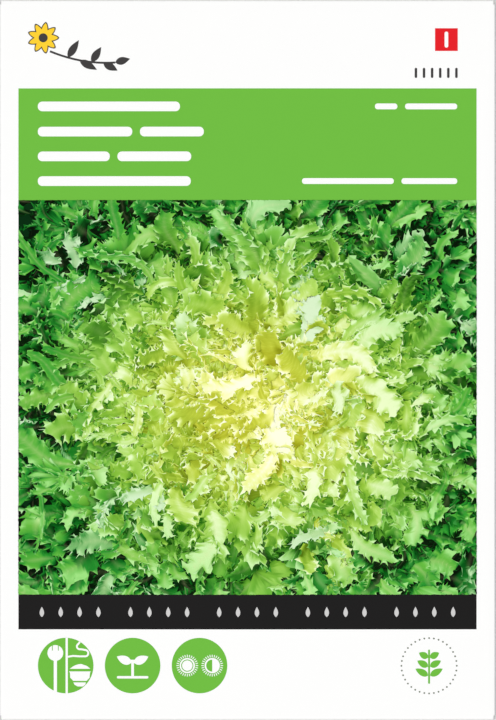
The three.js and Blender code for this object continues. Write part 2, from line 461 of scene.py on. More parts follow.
@dataclass
class FoldedSheet:
    """The packet's one sheet of paper, folded as its solid is."""

    width: float = 110 * MM
    height: float = 160 * MM
    paper: float = 0.12 * MM  # thickness
    glue: float = 0.04 * MM  # thickness of a joint
    seam_tab: float = 12 * MM  # width
    bottom_flap: float = 15 * MM  # length
    top_flap: float = 20 * MM  # length
    front_edge: float = 0.8 * MM  # height of the front's mid-surface at its edges
    wing_end: float = 79 * MM  # how far the back panel reaches, up and down
    back_edge: float = -53 * MM  # where the back panel ends, over the seam
    flap_taper: float = 0.09  # share of its width that a flap loses by its end
    flap_corner: float = 6 * MM  # radius
    pillow_rise: float = 1.0 * MM
    seed_rise: float = 1.15 * MM  # on top of the pillow's
    seed_centre: Place = (0.0, -18 * MM)
    seed_reach: Place = (50 * MM, 56 * MM)  # across and up
    cell: float = 1.25 * MM  # of the front
    fold_cells: int = 6
    tab_cells: int = 6
    back_cells: int = 27  # across the back panel
    flap_cells: tuple[int, int] = (5, 6)  # before the round corners
    corner_cells: int = 6

    def __post_init__(self) -> None:
        """Works out the levels, the fold radii and where each fold starts."""
        self.back_z = 1.5 * self.paper + self.glue
        tab_z = self.back_z + self.paper + self.glue
        self.left_fold = (self.front_edge - tab_z) / 2
        self.right_fold = (self.front_edge - self.back_z) / 2
        self.end_fold = (self.front_edge - self.paper / 2) / 2
        self.left = -(self.width / 2 - self.left_fold - self.paper / 2)
        self.right = self.width / 2 - self.right_fold - self.paper / 2
        self.end = self.height / 2 - self.end_fold - self.paper / 2

    def rise(self, x: Points, y: Points) -> Points:
        """How far the filled front stands above its edges.

        Args:
            x: Places across.
            y: Places up.

        Returns:
            The pillow's and the seeds' rise, with the paper's own gentle waves.
        """
        pillow = crown(x / self.left) * crown(y / self.end)
        across = (x - self.seed_centre[0]) / self.seed_reach[0]
        up = (y - self.seed_centre[1]) / self.seed_reach[1]
        seeds = np.clip(1 - (across**2 + up**2), 0, None) ** 2
        total = self.pillow_rise * pillow + self.seed_rise * seeds
        for share, ripples in ((pillow, SLACK_PAPER), (seeds, SEED_PRINTS)):
            total = total + share * sum(ripple.rise(x, y) for ripple in ripples)
        return total

    def front(self, x: Points, y: Points) -> Points:
        """Height of the printed front's outer face."""
        return self.front_edge + self.paper / 2 + self.rise(x, y)

    def folded(self, u: Points, v: Points) -> Points:
        """Where points of the flat blank go once it is folded.

        Args:
            u: Distances across the blank.
            v: Distances along the blank.

        Returns:
            One row of three coordinates per point.
        """
        x, y, z = u, v, self.front_edge + self.rise(u, v)
        for side, start, radius in ((-1, self.left, self.left_fold), (1, self.right, self.right_fold)):
            past = side * (u - start)
            out, drop = self.round_fold(past, radius)
            x = np.where(past > 0, start + side * out, x)
            z = np.where(past > 0, self.front_edge - drop, z)
        for side, flap in ((-1, self.bottom_flap), (1, self.top_flap)):
            past = side * v - self.end
            out, drop = self.round_fold(past, self.end_fold)
            x = np.where(past > 0, u * self.flap_share(past, flap), x)
            y = np.where(past > 0, side * (self.end + out), y)
            z = np.where(past > 0, self.front_edge - drop, z)
        return np.stack([x, y, z], axis=-1)

    @staticmethod
    def round_fold(past: Points, radius: float) -> tuple[Points, Points]:
        """Where paper goes that turns half round a fold and comes back below.

        Args:
            past: Lengths of paper past the fold's start.
            radius: The fold's radius.

        Returns:
            Distances outwards, and drops.
        """
        turn = np.clip(past / radius, 0, math.pi)
        out = radius * np.sin(turn) - np.clip(past - math.pi * radius, 0, None)
        return out, radius * (1 - np.cos(turn))

    def flap_share(self, past: Points, flap: float) -> Points:
        """Share of its full width that an end flap keeps.

        Args:
            past: Lengths past the fold's start.
            flap: The flap's length.

        Returns:
            The shares, less at the taper and least at the round corners.
        """
        length = flap + math.pi * self.end_fold
        taper = 1 - self.flap_taper * past / length
        into = np.clip(past - (length - self.flap_corner), 0, None)
        corner = self.flap_corner - np.sqrt(np.clip(self.flap_corner**2 - into**2, 0, None))
        return taper - corner / (self.width / 2)

    def columns(self) -> Points:
        """Lines that divide the blank across.

        Returns:
            Their places, from the seam tab to the back panel's edge.
        """
        tab = self.left - math.pi * self.left_fold
        back = self.right + math.pi * self.right_fold
        return self.divided(
            tab - self.seam_tab,
            (tab, self.tab_cells),
            (self.left, self.fold_cells),
            (self.right, round((self.right - self.left) / self.cell)),
            (back, self.fold_cells),
            (back + self.right - self.back_edge, self.back_cells),
        )

    def rows(self) -> Points:
        """Lines that divide the blank along.

        Returns:
            Their places, from the bottom flap to the top flap.
        """
        bend = self.end + math.pi * self.end_fold
        ends = []
        for flap, cells in zip((self.bottom_flap, self.top_flap), self.flap_cells):
            fold = [(self.end, 1), (bend, self.fold_cells)]
            tongue = [(bend + flap - self.flap_corner, cells), (bend + flap, self.corner_cells)]
            ends.append(self.divided(self.wing_end, *fold, *tongue))
        body = self.divided(-self.wing_end, (self.wing_end, round(2 * self.wing_end / self.cell)))
        return np.concatenate([-ends[0][:0:-1], body, ends[1][1:]])

    @staticmethod
    def divided(start: float, *stops: tuple[float, int]) -> Points:
        """Lines along a run of stretches, each of which is divided evenly.

        Args:
            start: Where the first stretch starts.
            stops: Where each stretch ends, and its count of cells.

        Returns:
            The lines' places.
        """
        lines = [start]
        for stop, count in stops:
            lines += list(np.linspace(lines[-1], stop, count + 1)[1:])
        return np.array(lines)

    def build(self) -> Piece:
        """Models the folded sheet.

        Returns:
            The paper, a closed shell of the paper's thickness.
        """
        columns, rows = self.columns(), self.rows()
        cells = {"x_subdivisions": len(columns) - 1, "y_subdivisions": len(rows) - 1}
        sheet = started(bpy.ops.mesh.primitive_grid_add, size=self.width, **cells)
        sheet.name = "folded_paper"
        u, v = np.meshgrid(columns, rows)
        sheet.data.vertices.foreach_set("co", self.folded(u, v).astype(np.float32).ravel())
        middle_u, middle_v = np.meshgrid((columns[:-1] + columns[1:]) / 2, (rows[:-1] + rows[1:]) / 2)
        beside = (middle_u < self.left) | (middle_u > self.right)
        with editing(sheet, (beside & (np.abs(middle_v) > self.wing_end)).ravel()):
            bpy.ops.mesh.delete(type="FACE")
        apply_modifier(sheet, "SOLIDIFY", thickness=self.paper, offset=0, use_even_offset=True)
        smooth(sheet, 50)
        sheet.data.materials.append(PAPER_WHITE.material())
        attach(sheet, ROOT)
        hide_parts("paper_envelope")
        return sheet


# ---------------- flat shapes and films


def leaf_side(share: Points, width: float, point: float) -> Points:
    """Half-widths of a leaf or petal at shares of its length; the less its point, the rounder its tip."""
    return 0.5 * width * np.sin(math.pi * share**0.8) ** point


def both_sides(along: Points, half: Points) -> Points:
    """Outline of a pointed shape that is as wide on both sides of +X."""
    below, above = np.column_stack([along, -half]), np.column_stack([along, half])
    return np.vstack([below, above[-2:0:-1]])


def petal(length: float, width: float, point: float = 1.0) -> Points:
    """Outline of a leaf or petal that lies along +X from the origin."""
    shares = np.linspace(0, 1, 9)
    return both_sides(shares * length, leaf_side(shares, width, point))


def rosette(petals: int, length: float, width: float) -> Points:
    """Outline of a flower whose petals run together near its middle.

    Args:
        petals: How many petals it has.
        length: Distance from the middle to a tip.
        width: Greatest width of a petal.

    Returns:
        Corners, anticlockwise.
    """
    point = 0.6
    shares = np.linspace(0.2, 1, 401)
    wedge = shares * length * math.tan(math.pi / petals)
    meet = shares[np.argmax(leaf_side(shares, width, point) <= wedge)]
    tip = np.linspace(meet, 1, 7)
    one = both_sides(tip * length, leaf_side(tip, width, point)).T
    turns = np.arange(petals) * 2 * math.pi / petals
    return np.vstack([np.column_stack(turned(*one, turn)) for turn in turns])


def seedling(height: float, stem: float, leaf: Place, rise: float) -> Points:
    """Outline of a seedling that stands on the origin: a stem with a leaf to each side.

    Args:
        height: Height of the stem.
        stem: Width of the stem.
        leaf: Length and width of a leaf.
        rise: How steeply the leaves rise, in radians.

    Returns:
        Corners, anticlockwise.
    """
    x, y = turned(*petal(*leaf, point=0.8).T, rise)
    half = np.vstack([(stem / 2, 0), np.column_stack([stem / 2 + x, height + y])])
    return np.vstack([half, half[::-1] * (-1, 1)])


def stroke(path: Points, line: float) -> Points:
    """Outline of a line with square ends.

    Args:
        path: Points along its middle.
        line: Its width.

    Returns:
        Corners, anticlockwise.
    """
    ahead = np.gradient(path, axis=0)
    ahead = ahead / np.linalg.norm(ahead, axis=1, keepdims=True)
    aside = 0.5 * line * np.column_stack([-ahead[:, 1], ahead[:, 0]])
    return np.concatenate([path - aside, (path + aside)[::-1]])


def arc(radius: float, start: float, end: float, middle: Place = (0.0, 0.0), steps: int = 12) -> Points:
    """Points along an arc, from one angle to another in degrees."""
    turns = np.radians(np.linspace(start, end, steps + 1))
    return np.column_stack([middle[0] + radius * np.cos(turns), middle[1] + radius * np.sin(turns)])


def around(radius: float, count: int) -> Points:
    """Turn and place of things spread evenly round a circle, one row for each."""
    turns = 2 * math.pi * np.arange(count) / count
    return np.column_stack([turns, radius * np.cos(turns), radius * np.sin(turns)])


class Face(Enum):
    """A side of the packet, with the height that its shapes are drawn at."""

    FRONT = 10 * MM
    BACK = -10 * MM


@dataclass
class PrintedSide:
    """One side of the packet: flat shapes as its reader sees them, laid on the paper as films of ink."""

    paper: Piece
    face: Face = Face.FRONT
    cell: float = 1.25 * MM  # longest stretch that a long shape spans with no corner of its own
    step: float = 0.014 * MM  # from the paper to the first layer of ink, and from layer to layer
    film: float = 0.006 * MM  # thickness
    rounding: float = 0.46  # of a bar's ends, as a share of its height

    def put(self, shape: Piece, x: float, y: float, turn: float = 0.0) -> Piece:
        """Places a shape that was drawn round the origin.

        Args:
            shape: The flat shape.
            x: Where its middle goes, to the reader's right.
            y: Where its middle goes, upwards.
            turn: Turn about its middle, anticlockwise.

        Returns:
            The shape, in its place.
        """
        shape.location = (x, y, 0)
        shape.rotation_euler = (0, 0, turn)
        settle(shape)
        if self.face is Face.BACK:
            shape.rotation_euler = (0, math.pi, 0)
        shape.location = (0, 0, self.face.value)
        settle(shape)
        return shape

    @staticmethod
    def grid(width: float, height: float, columns: int, rows: int) -> Piece:
        """A rectangle round the origin.

        Args:
            width: Its width.
            height: Its height.
            columns: How many cells it has across, if more than one.
            rows: How many cells it has up, if more than one.

        Returns:
            The rectangle.
        """
        add = bpy.ops.mesh.primitive_grid_add
        shape = started(add, x_subdivisions=max(1, columns), y_subdivisions=max(1, rows), size=1)
        shape.scale = (width, height, 1)
        settle(shape)
        return shape

    def panel(self, x: float, y: float, width: float, height: float) -> Piece:
        """A rectangle, divided finely enough to follow the paper."""
        cells = math.ceil(width / self.cell), math.ceil(height / self.cell)
        return self.put(self.grid(width, height, *cells), x, y)

    def bar(self, x: float, y: float, width: float, height: float, turn: float = 0.0) -> Piece:
        """A bar with rounded ends.

        Args:
            x: Its middle.
            y: Its middle.
            width: Its length.
            height: Its width.
            turn: Its turn.

        Returns:
            The bar.
        """
        shape = self.grid(width, height, round(width / self.cell), 1)
        ends = [abs(corner.co.x) > 0.499 * width for corner in shape.data.vertices]
        with editing(shape, ends, Items.CORNERS):
            bpy.ops.mesh.bevel(offset=self.rounding * min(width, height), segments=5, affect="VERTICES")
        return self.put(shape, x, y, turn)

    def disc(self, x: float, y: float, radius: float, corners: int, line: float = 0.0) -> Piece:
        """A filled circle, or a round line inside its edge.

        Args:
            x: Its middle.
            y: Its middle.
            radius: Its radius.
            corners: How many corners it has.
            line: Width of the line, or 0 for a filled circle.

        Returns:
            The circle.
        """
        add = bpy.ops.mesh.primitive_circle_add
        shape = started(add, vertices=corners, radius=radius, fill_type="NGON")
        with editing(shape):
            bpy.ops.mesh.inset(thickness=line or 0.5 * radius)
            if line:
                bpy.ops.mesh.delete(type="FACE")
        return self.put(shape, x, y)

    def outline(self, corners: Points, x: float, y: float, turn: float = 0.0) -> Piece:
        """A filled shape with corners of its own.

        Args:
            corners: Its corners round its middle, anticlockwise.
            x: Its middle.
            y: Its middle.
            turn: Its turn.

        Returns:
            The shape.
        """
        add = bpy.ops.mesh.primitive_circle_add
        shape = started(add, vertices=len(corners), radius=1, fill_type="NGON")
        flat = np.column_stack([corners, np.zeros(len(corners))])
        shape.data.vertices.foreach_set("co", flat.astype(np.float32).ravel())
        with editing(shape):
            bpy.ops.mesh.quads_convert_to_tris()
        return self.put(shape, x, y, turn)

    def lay(self, name: str, shapes: Sequence[Piece], finish: StockFinish, layer: int = 1) -> Piece:
        """Drapes shapes on the paper.

        Args:
            name: The film's name.
            shapes: Flat shapes, drawn for this side.
            finish: The ink.
            layer: Which layer of ink it is, from 1 on the paper.

        Returns:
            The film.
        """
        select_only(*shapes)
        if len(shapes) > 1:
            bpy.ops.object.join()
        piece = bpy.context.active_object
        piece.name = piece.data.name = name
        apply_modifier(
            piece,
            "SHRINKWRAP",
            target=self.paper,
            wrap_method="PROJECT",
            wrap_mode="ABOVE_SURFACE",
            offset=layer * self.step,
            use_project_z=True,
            use_negative_direction=self.face is Face.FRONT,
            use_positive_direction=self.face is Face.BACK,
        )
        apply_modifier(piece, "SOLIDIFY", thickness=self.film, offset=1)
        smooth(piece, 40)
        piece.data.materials.append(finish.material())
        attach(piece, ROOT)
        return piece


@dataclass
class Print:
    """What every block of print has."""

    side: PrintedSide


# ---------------- the front's print


@dataclass(frozen=True)
class FrontLayout:
    """Where the blocks of the front's print lie."""

    half_width: float = 50.9 * MM
    header_top: float = 60.35 * MM
    picture_top: float = 35.5 * MM  # and the header's bottom
    band_top: float = -52.1 * MM  # and the picture's bottom
    band_bottom: float = -59.85 * MM


LAYOUT = FrontLayout()


@dataclass
class FrontBlock(Print):
    """A block of the front's print that spans it from side to side."""

    top: float = LAYOUT.picture_top
    bottom: float = LAYOUT.band_top

    def ground(self, name: str, finish: StockFinish) -> Piece:
        """Lays one ink over all of the block."""
        panel = self.side.panel(0, self.middle, 2 * LAYOUT.half_width, self.top - self.bottom)
        return self.side.lay(name, [panel], finish)

    @property
    def middle(self) -> float:
        """Height of the block's middle."""
        return (self.top + self.bottom) / 2


@dataclass
class Header(FrontBlock):
    """The green header with its rows of white bars, where a packet has its names."""

    top: float = LAYOUT.header_top
    bottom: float = LAYOUT.picture_top
    inset: float = 4.3 * MM  # from the header's edges to the bars
    gap: float = 1.7 * MM  # between bars in a row
    bar: float = 2.15 * MM
    thin_bar: float = 1.3 * MM
    rows: Sequence[tuple[float, ...]] = (  # how far down a row is, and how long its bars are, in millimetres
        (4.0, 31.6),
        (9.6, 21.0, 14.2),
        (15.1, 16.0, 16.4),
        (20.6, 34.0),
    )
    thin_rows: Sequence[tuple[float, ...]] = ((4.0, 5.0, 11.6), (20.6, 20.4, 12.4))  # the same, at the right

    def build(self) -> Iterator[Piece]:
        """Models and lays the header's films.

        Returns:
            The films, one by one.
        """
        yield self.ground("header_ground", HEADER_GREEN)
        left = self.bars(self.rows, self.bar, -1)
        yield self.side.lay("header_bars", left, KNOCKOUT_WHITE, layer=2)
        right = self.bars(self.thin_rows, self.thin_bar, 1)
        yield self.side.lay("header_thin_bars", right, KNOCKOUT_WHITE, layer=2)

    def bars(self, rows: Sequence[tuple[float, ...]], height: float, edge: int) -> list[Piece]:
        """Rows of bars that line up at one edge.

        Args:
            rows: The rows.
            height: Height of a bar.
            edge: -1 for the left edge, 1 for the right.

        Returns:
            The bars.
        """
        bars = []
        for drop, *lengths in rows:
            start = LAYOUT.half_width - self.inset
            for length in lengths[::-edge]:
                middle = edge * (start - length * MM / 2)
                bars.append(self.side.bar(middle, self.top - drop * MM, length * MM, height))
                start -= length * MM + self.gap
        return bars


@dataclass
class SloganBand(FrontBlock):
    """The black band below the picture, with a row of small seed marks in even groups."""

    top: float = LAYOUT.band_top
    bottom: float = LAYOUT.band_bottom
    groups: int = 5
    marks: int = 4  # in a group
    group_gap: float = 1.7  # in spacings of the marks
    inset: float = 5.2 * MM
    mark: Place = (2.3 * MM, 1.0 * MM)  # length and width

    def build(self) -> Iterator[Piece]:
        """Models and lays the band's films.

        Returns:
            The films, one by one.
        """
        yield self.ground("band_ground", BAND_BLACK)
        gaps = [1.0] * (self.marks - 1) + [self.group_gap]
        places = np.cumsum([0.0, *gaps * self.groups])[:-1]
        reach = LAYOUT.half_width - self.inset
        foot = self.middle - self.mark[0] / 2
        seeds = [
            self.side.outline(petal(*self.mark), x, foot, math.pi / 2)
            for x in 2 * reach * places / places[-1] - reach
        ]
        yield self.side.lay("band_marks", seeds, BAND_GREY, layer=2)


@dataclass
class CornerMarks(Print):
    """The small marks at the packet's top: a red square, a row of ticks, and a plain flower."""

    square: tuple[float, float, float] = (44.2 * MM, 71.2 * MM, 5.05 * MM)  # middle and side
    tally: Place = (0.7, 0.16)  # length and width, as shares of the side
    ticks: int = 6
    tick: Place = (0.55 * MM, 2.25 * MM)  # width and height
    ticks_pitch: float = 1.8 * MM
    ticks_end: Place = (46.7 * MM, 63.8 * MM)  # right end, and height of the middles
    flower_at: Place = (-45.4 * MM, 71.6 * MM)
    petals: int = 9
    rim: Place = (3.6 * MM, 1.75 * MM)  # length and width of a petal's dark rim
    petal: Place = (3.3 * MM, 1.35 * MM)
    eye: float = 1.0 * MM  # radius
    stem: float = 0.45 * MM  # width
    leaf_width: float = 1.7 * MM
    leaves: Sequence[tuple[int, int, float]] = (  # place along the stem, side of it, and millimetres
        (3, 1, 4.6),
        (5, -1, 4.4),
        (7, 1, 4.0),
        (9, -1, 3.6),
        (11, 0, 3.4),
    )

    def build(self) -> Iterator[Piece]:
        """Models and lays the marks.

        Returns:
            The films, one by one.
        """
        x, y, size = self.square
        yield self.side.lay("red_square", [self.side.panel(x, y, size, size)], MARK_RED)
        tally = self.side.bar(x, y, self.tally[0] * size, self.tally[1] * size, math.pi / 2)
        yield self.side.lay("red_square_tally", [tally], KNOCKOUT_WHITE, layer=2)
        width, height = self.tick
        x, y = self.ticks_end
        ticks = [
            self.side.bar(x - width / 2 - index * self.ticks_pitch, y, height, width, math.pi / 2)
            for index in range(self.ticks)
        ]
        yield self.side.lay("corner_ticks", ticks, FINE_BLACK)
        yield from self.flower()

    def flower(self) -> Iterator[Piece]:
        """A yellow flower on a dark stem with leaves, rising to the right.

        Returns:
            The films, one by one.
        """
        shares = np.linspace(0, 1, 12)
        path = np.column_stack([1.5 + 14.5 * shares, 3.5 * shares**2 - 6.0 * shares - 3.0]) * MM
        stem = self.side.outline(stroke(path, self.stem), *self.flower_at)
        yield self.side.lay("flower_stem", [stem], FINE_BLACK)
        leaves = []
        for place, way, length in self.leaves:
            foot = path[place] + self.flower_at
            leaf = petal(length * MM, self.leaf_width)
            leaves.append(self.side.outline(leaf, *foot, 0.25 + way * 0.75))
        yield self.side.lay("flower_leaves", leaves, FINE_BLACK, layer=2)
        rim = self.side.outline(rosette(self.petals, *self.rim), *self.flower_at)
        yield self.side.lay("flower_petal_rims", [rim], FINE_BLACK, layer=2)
        blossom = self.side.outline(rosette(self.petals, *self.petal), *self.flower_at)
        yield self.side.lay("flower_petals", [blossom], BLOSSOM_YELLOW, layer=3)
        eye = self.side.disc(*self.flower_at, self.eye, 24)
        yield self.side.lay("flower_eye", [eye], FINE_BLACK, layer=4)


# Corners of the heaped bowl, in millimetres round its middle.
BOWL = ((-2.45, -1.3), (-2.25, -1.6), (-2.2, -2.7), (-1.5, -3.4))
BOWL += ((1.45, -3.4), (2.1, -2.7), (2.2, -1.6), (2.4, -1.3))
HEAP = ((-2.3, -0.72), (2.3, -0.72), (1.55, -0.1), (0.9, 0.12))
HEAP += ((0.3, 0.35), (-0.3, 0.3), (-1.0, 0.1), (-1.6, -0.2))
DISH = ((-1.5, -3.75), (-1.2, -4.3), (-0.5, -4.65), (0.6, -4.65), (1.1, -4.3), (1.3, -3.75))


@dataclass
class CareSigns(Print):
    """Three round green signs along the bottom: for the table, a seedling, and sun or half shade."""

    radius: float = 6.17 * MM
    first_x: float = -40.4 * MM
    pitch: float = 14.87 * MM
    y: float = -67.9 * MM
    divider: Place = (0.22 * MM, 0.5 * MM)  # place and width
    fork_at: Place = (-2.3 * MM, 2.8 * MM)  # middle of its head
    fork_size: Place = (1.76 * MM, 0.72 * MM)  # radius of its head, and width of its handle
    bowl_x: float = 3.2 * MM
    steam: float = 0.42 * MM  # width
    suns: Place = (-2.72 * MM, 2.82 * MM)  # middles of the full and the half sun
    sun: float = 1.7 * MM  # radius
    ring: float = 0.34 * MM  # width of the full sun's ring
    core: float = 1.16 * MM  # radius of what lies in it
    shade: float = 1.34 * MM  # radius of the half sun's dark half
    rays: int = 28
    ray: tuple[float, float, float] = (2.14 * MM, 0.6 * MM, 0.19 * MM)  # place, length and width

    def build(self) -> Iterator[Piece]:
        """Models and lays the signs.

        Returns:
            The films, one by one.
        """
        table, plant, sun = (self.first_x + index * self.pitch for index in range(3))
        grounds = [self.side.disc(x, self.y, self.radius, 64) for x in (table, plant, sun)]
        yield self.side.lay("sign_grounds", grounds, HEADER_GREEN)
        yield self.side.lay("table_sign", self.table_sign(table), KNOCKOUT_WHITE, layer=2)
        yield self.side.lay("seedling_sign", self.seedling_sign(plant), KNOCKOUT_WHITE, layer=2)
        yield from self.sun_signs(sun)

    def table_sign(self, x: float) -> list[Piece]:
        """A fork with three short tines, a dividing line, and a steaming heaped bowl on a dish.

        Args:
            x: The sign's middle.

        Returns:
            The shapes.
        """
        (fork_x, head_y), (line_x, width), past = self.fork_at, self.divider, 0.1 * MM
        shapes = [self.side.panel(x + line_x, self.y, width, 2 * self.radius + past)]
        fork = self.fork(*self.fork_size, head_y + math.sqrt(self.radius**2 - fork_x**2) + past)
        shapes.append(self.side.outline(fork, x + fork_x, self.y + head_y))
        for corners in (BOWL, HEAP, DISH):
            shapes.append(self.side.outline(MM * np.array(corners), x + self.bowl_x, self.y))
        rise, fall = arc(0.72, -75, 75, (4.3, 2.75), 7), arc(0.62, 260, 120, (3.1, 4.25), 6)
        steam = np.vstack([(0.48, 1.95), (1.6, 2.15), (3.1, 2.05), rise, (3.6, 3.6), fall, (3.15, 5.25)])
        shapes.append(self.side.outline(stroke(MM * steam, self.steam), x, self.y))
        return shapes

    @staticmethod
    def fork(radius: float, handle: float, reach: float) -> Points:
        """Outline of a fork with a round head that two narrow notches part into three tines.

        Args:
            radius: The head's radius.
            handle: The handle's width.
            reach: How far the handle's end lies below the head's middle.

        Returns:
            Corners, anticlockwise.
        """
        parts = [[(-handle / 2, -reach), (handle / 2, -reach)]]
        start, end, half_notch = -78, 258, 3
        for turn in (68, 112):
            notch = arc(radius, turn - half_notch, turn + half_notch, steps=1)
            parts += [arc(radius, start, turn - half_notch), notch * (1, 0) + (0, 0.3 * radius)]
            start = turn + half_notch
        return np.vstack([*parts, arc(radius, start, end)])

    def seedling_sign(self, x: float) -> list[Piece]:
        """A seedling with two leaves over a line of ground.

        Args:
            x: The sign's middle.

        Returns:
            The shapes.
        """
        ground, line = self.y - 2.6 * MM, 0.55 * MM
        plant = seedling(2.9 * MM, 0.6 * MM, (3.5 * MM, 1.9 * MM), 0.42)
        return [self.side.bar(x, ground, 7.0 * MM, line), self.side.outline(plant, x, ground + line / 2)]

    def sun_signs(self, x: float) -> Iterator[Piece]:
        """A full sun and a half sun, side by side.

        Args:
            x: The sign's middle.

        Returns:
            The films, one by one.
        """
        full, half = (x + place for place in self.suns)
        white = [
            self.side.disc(full, self.y, self.sun, 36, line=self.ring),
            self.side.disc(full, self.y, self.core, 32),
            self.side.disc(half, self.y, self.sun, 36),
        ]
        for sun in (full, half):
            for turn, across, up in around(self.ray[0], self.rays):
                white.append(self.side.bar(sun + across, self.y + up, *self.ray[1:], turn))
        yield self.side.lay("sun_signs", white, KNOCKOUT_WHITE, layer=2)
        shade = self.side.outline(arc(self.shade, 90, 270, steps=16), half, self.y)
        yield self.side.lay("half_sun_shade", [shade], HEADER_GREEN, layer=3)


@dataclass
class RoundSeal(Print):
    """A ring of dots with a green sprig in it, at the bottom right."""

    x: float = 40.35 * MM
    y: float = -67.95 * MM
    radius: float = 6.15 * MM
    dots: int = 36
    dot: float = 0.2 * MM  # radius
    stem: Place = (7.6 * MM, 0.42 * MM)  # length and width

    def build(self) -> Iterator[Piece]:
        """Models and lays the seal.

        Returns:
            The films, one by one.
        """
        dots = [
            self.side.disc(self.x + across, self.y + up, self.dot, 10)
            for _, across, up in around(self.radius, self.dots)
        ]
        yield self.side.lay("seal_dots", dots, DOT_OLIVE)
        sprig = [self.side.bar(self.x, self.y - 0.2 * MM, *self.stem, math.pi / 2)]
        for pair in range(3):
            leaf = petal((3.2 - 0.45 * pair) * MM, 1.5 * MM, point=0.8)
            foot = self.y + (pair * 2.0 - 2.2) * MM
            for way, turn in ((1, 0.5), (-1, math.pi - 0.5)):
                sprig.append(self.side.outline(leaf, self.x + way * 0.52 * self.stem[1], foot, turn))
        yield self.side.lay("seal_sprig", sprig, HEADER_GREEN)


# ---------------- the picture


def unit(vectors: Points) -> Points:
    """Vectors of length 1."""
    return vectors / (np.linalg.norm(vectors, axis=-1, keepdims=True) + 1e-9)


def tinted(ink: Points, colour: Colour, share: Points) -> Points:
    """Inks mixed with some of one colour."""
    return ink + (np.array(colour) - ink) * share[..., None]


@dataclass(frozen=True)
class LeafShades:
    """Ink colours of the leaves by zone, heart to rim, and by tone, shade to gloss."""

    tones: tuple[float, ...]
    zones: tuple[tuple[Colour, ...], ...]
    midrib: Colour
    bloom: Colour  # of a leaf's underside

    def mixed(self, zone: Points, tone: Points) -> Points:
        """Colour of each point.

        Args:
            zone: Its zone, from 0 at the heart to the count of zones less 1 at the rim.
            tone: Its tone, from 0 in shade to 1 in gloss.

        Returns:
            Scene-linear colours.
        """
        ink = np.zeros((*zone.shape, 3))
        for index, shades in enumerate(self.zones):
            share = np.clip(1 - np.abs(zone - index), 0, 1)
            parts = [np.interp(tone, self.tones, column) for column in zip(*shades)]
            ink += share[..., None] * np.stack(parts, -1)
        return ink


SHADES = LeafShades(
    tones=(0.15, 0.21, 0.39, 0.62, 0.92),
    zones=tuple(
        tuple(linear(*shade) for shade in shades)
        for shades in (
            ((146, 150, 20), (172, 178, 36), (208, 216, 72), (250, 250, 158), (255, 255, 224)),
            ((24, 98, 6), (90, 154, 34), (146, 196, 60), (184, 224, 106), (232, 252, 196)),
            ((0, 30, 0), (0, 100, 18), (50, 154, 46), (108, 188, 64), (172, 232, 142)),
            ((0, 16, 0), (0, 88, 20), (34, 144, 46), (92, 180, 60), (156, 224, 128)),
        )
    ),
    midrib=linear(214, 226, 160),
    bloom=linear(216, 238, 206),
)


@dataclass(frozen=True)
class LeafRing:
    """One ring of leaves round the heart, in millimetres of the print."""

    reach: float  # of the leaf tips
    length: float  # of a leaf
    lobe: float  # length of its lobes
    gap: float = 9.0  # between leaf tips
    lobes: int = 9  # in a leaf
    drop: float = 0.0  # below the head's dome

    @property
    def count(self) -> int:
        """How many leaves the ring has."""
        return max(4, round(2 * math.pi * self.reach / self.gap))


@dataclass(frozen=True)
class LeafGroup:
    """Rings of leaves that make one piece."""

    rings: tuple[LeafRing, ...]
    along: int  # points along a strap; long straps need more
    fan_share: float = 0.16  # of the lobes; the others are straps
    rib: float = 0.16  # width, as a share of the strap's half-width
    slimmest: float = 1.0  # from 0 for broad straps to 1 for narrow and long ones
    tooth: float = 1.0  # length, as a share


HEAD_LEAVES = {
    "picture_under_leaves": LeafGroup(
        (
            LeafRing(66, 40, 8, drop=10),
            LeafRing(44, 34, 8, drop=10),
            LeafRing(24, 22, 7, gap=8, drop=9),
            LeafRing(8, 12, 6, gap=6, drop=8),
        ),
        along=40,
    ),
    "picture_rim_leaves": LeafGroup(
        (LeafRing(76, 34, 6.4), LeafRing(69, 34, 6.4), LeafRing(62, 34, 6.2)), along=44
    ),
    "picture_outer_leaves": LeafGroup((LeafRing(55, 32, 6.0), LeafRing(48, 30, 5.8)), along=46),
    "picture_middle_leaves": LeafGroup((LeafRing(41, 26, 5.6), LeafRing(34, 23, 5.6)), along=52),
    "picture_inner_leaves": LeafGroup((LeafRing(28, 20, 5.6), LeafRing(22, 17, 5.6)), along=58),
    "picture_heart_leaves": LeafGroup(
        (
            LeafRing(16, 14, 5.8),
            LeafRing(11, 12, 5.8),
            LeafRing(7, 10, 5.4),
            LeafRing(3, 8, 5.0, gap=7),
        ),
        along=60,
        rib=0.3,
    ),
    "picture_large_leaves": LeafGroup(
        tuple(
            LeafRing(*sizes, lobes=3, drop=-1.5)
            for sizes in (
                (66, 26, 8.5, 26),
                (52, 24, 8.5, 24),
                (38, 20, 8.0, 22),
                (26, 16, 7.5, 18),
                (13, 12, 7.0, 12),
            )
        ),
        along=86,
        fan_share=0.0,
        rib=0.22,
    ),
    "picture_rib_leaves": LeafGroup(
        (
            LeafRing(15, 9, 7.5, gap=9, lobes=2, drop=-3.5),
            LeafRing(8, 7, 6.5, gap=8, lobes=2, drop=-4.0),
        ),
        along=80,
        fan_share=0.0,
        rib=0.55,
        slimmest=0.35,
        tooth=0.6,
    ),
}


class Rows:
    """Arrays that go together, with one row for each thing."""

    @classmethod
    def stacked(cls, parts: Sequence[Self]) -> Self:
        """Several sets of rows as one."""
        return cls(*map(np.concatenate, zip(*(vars(part).values() for part in parts))))

    def chosen(self, keep: np.ndarray) -> Self:
        """Some of the rows."""
        return type(self)(*(column[keep] for column in vars(self).values()))


@dataclass
class Lobes(Rows):
    """The lobes of some leaves."""

    foot: Points  # where each joins its leaf's rib
    heading: Points
    size: Points
    leaf: Points  # a random number that the lobes of one leaf share


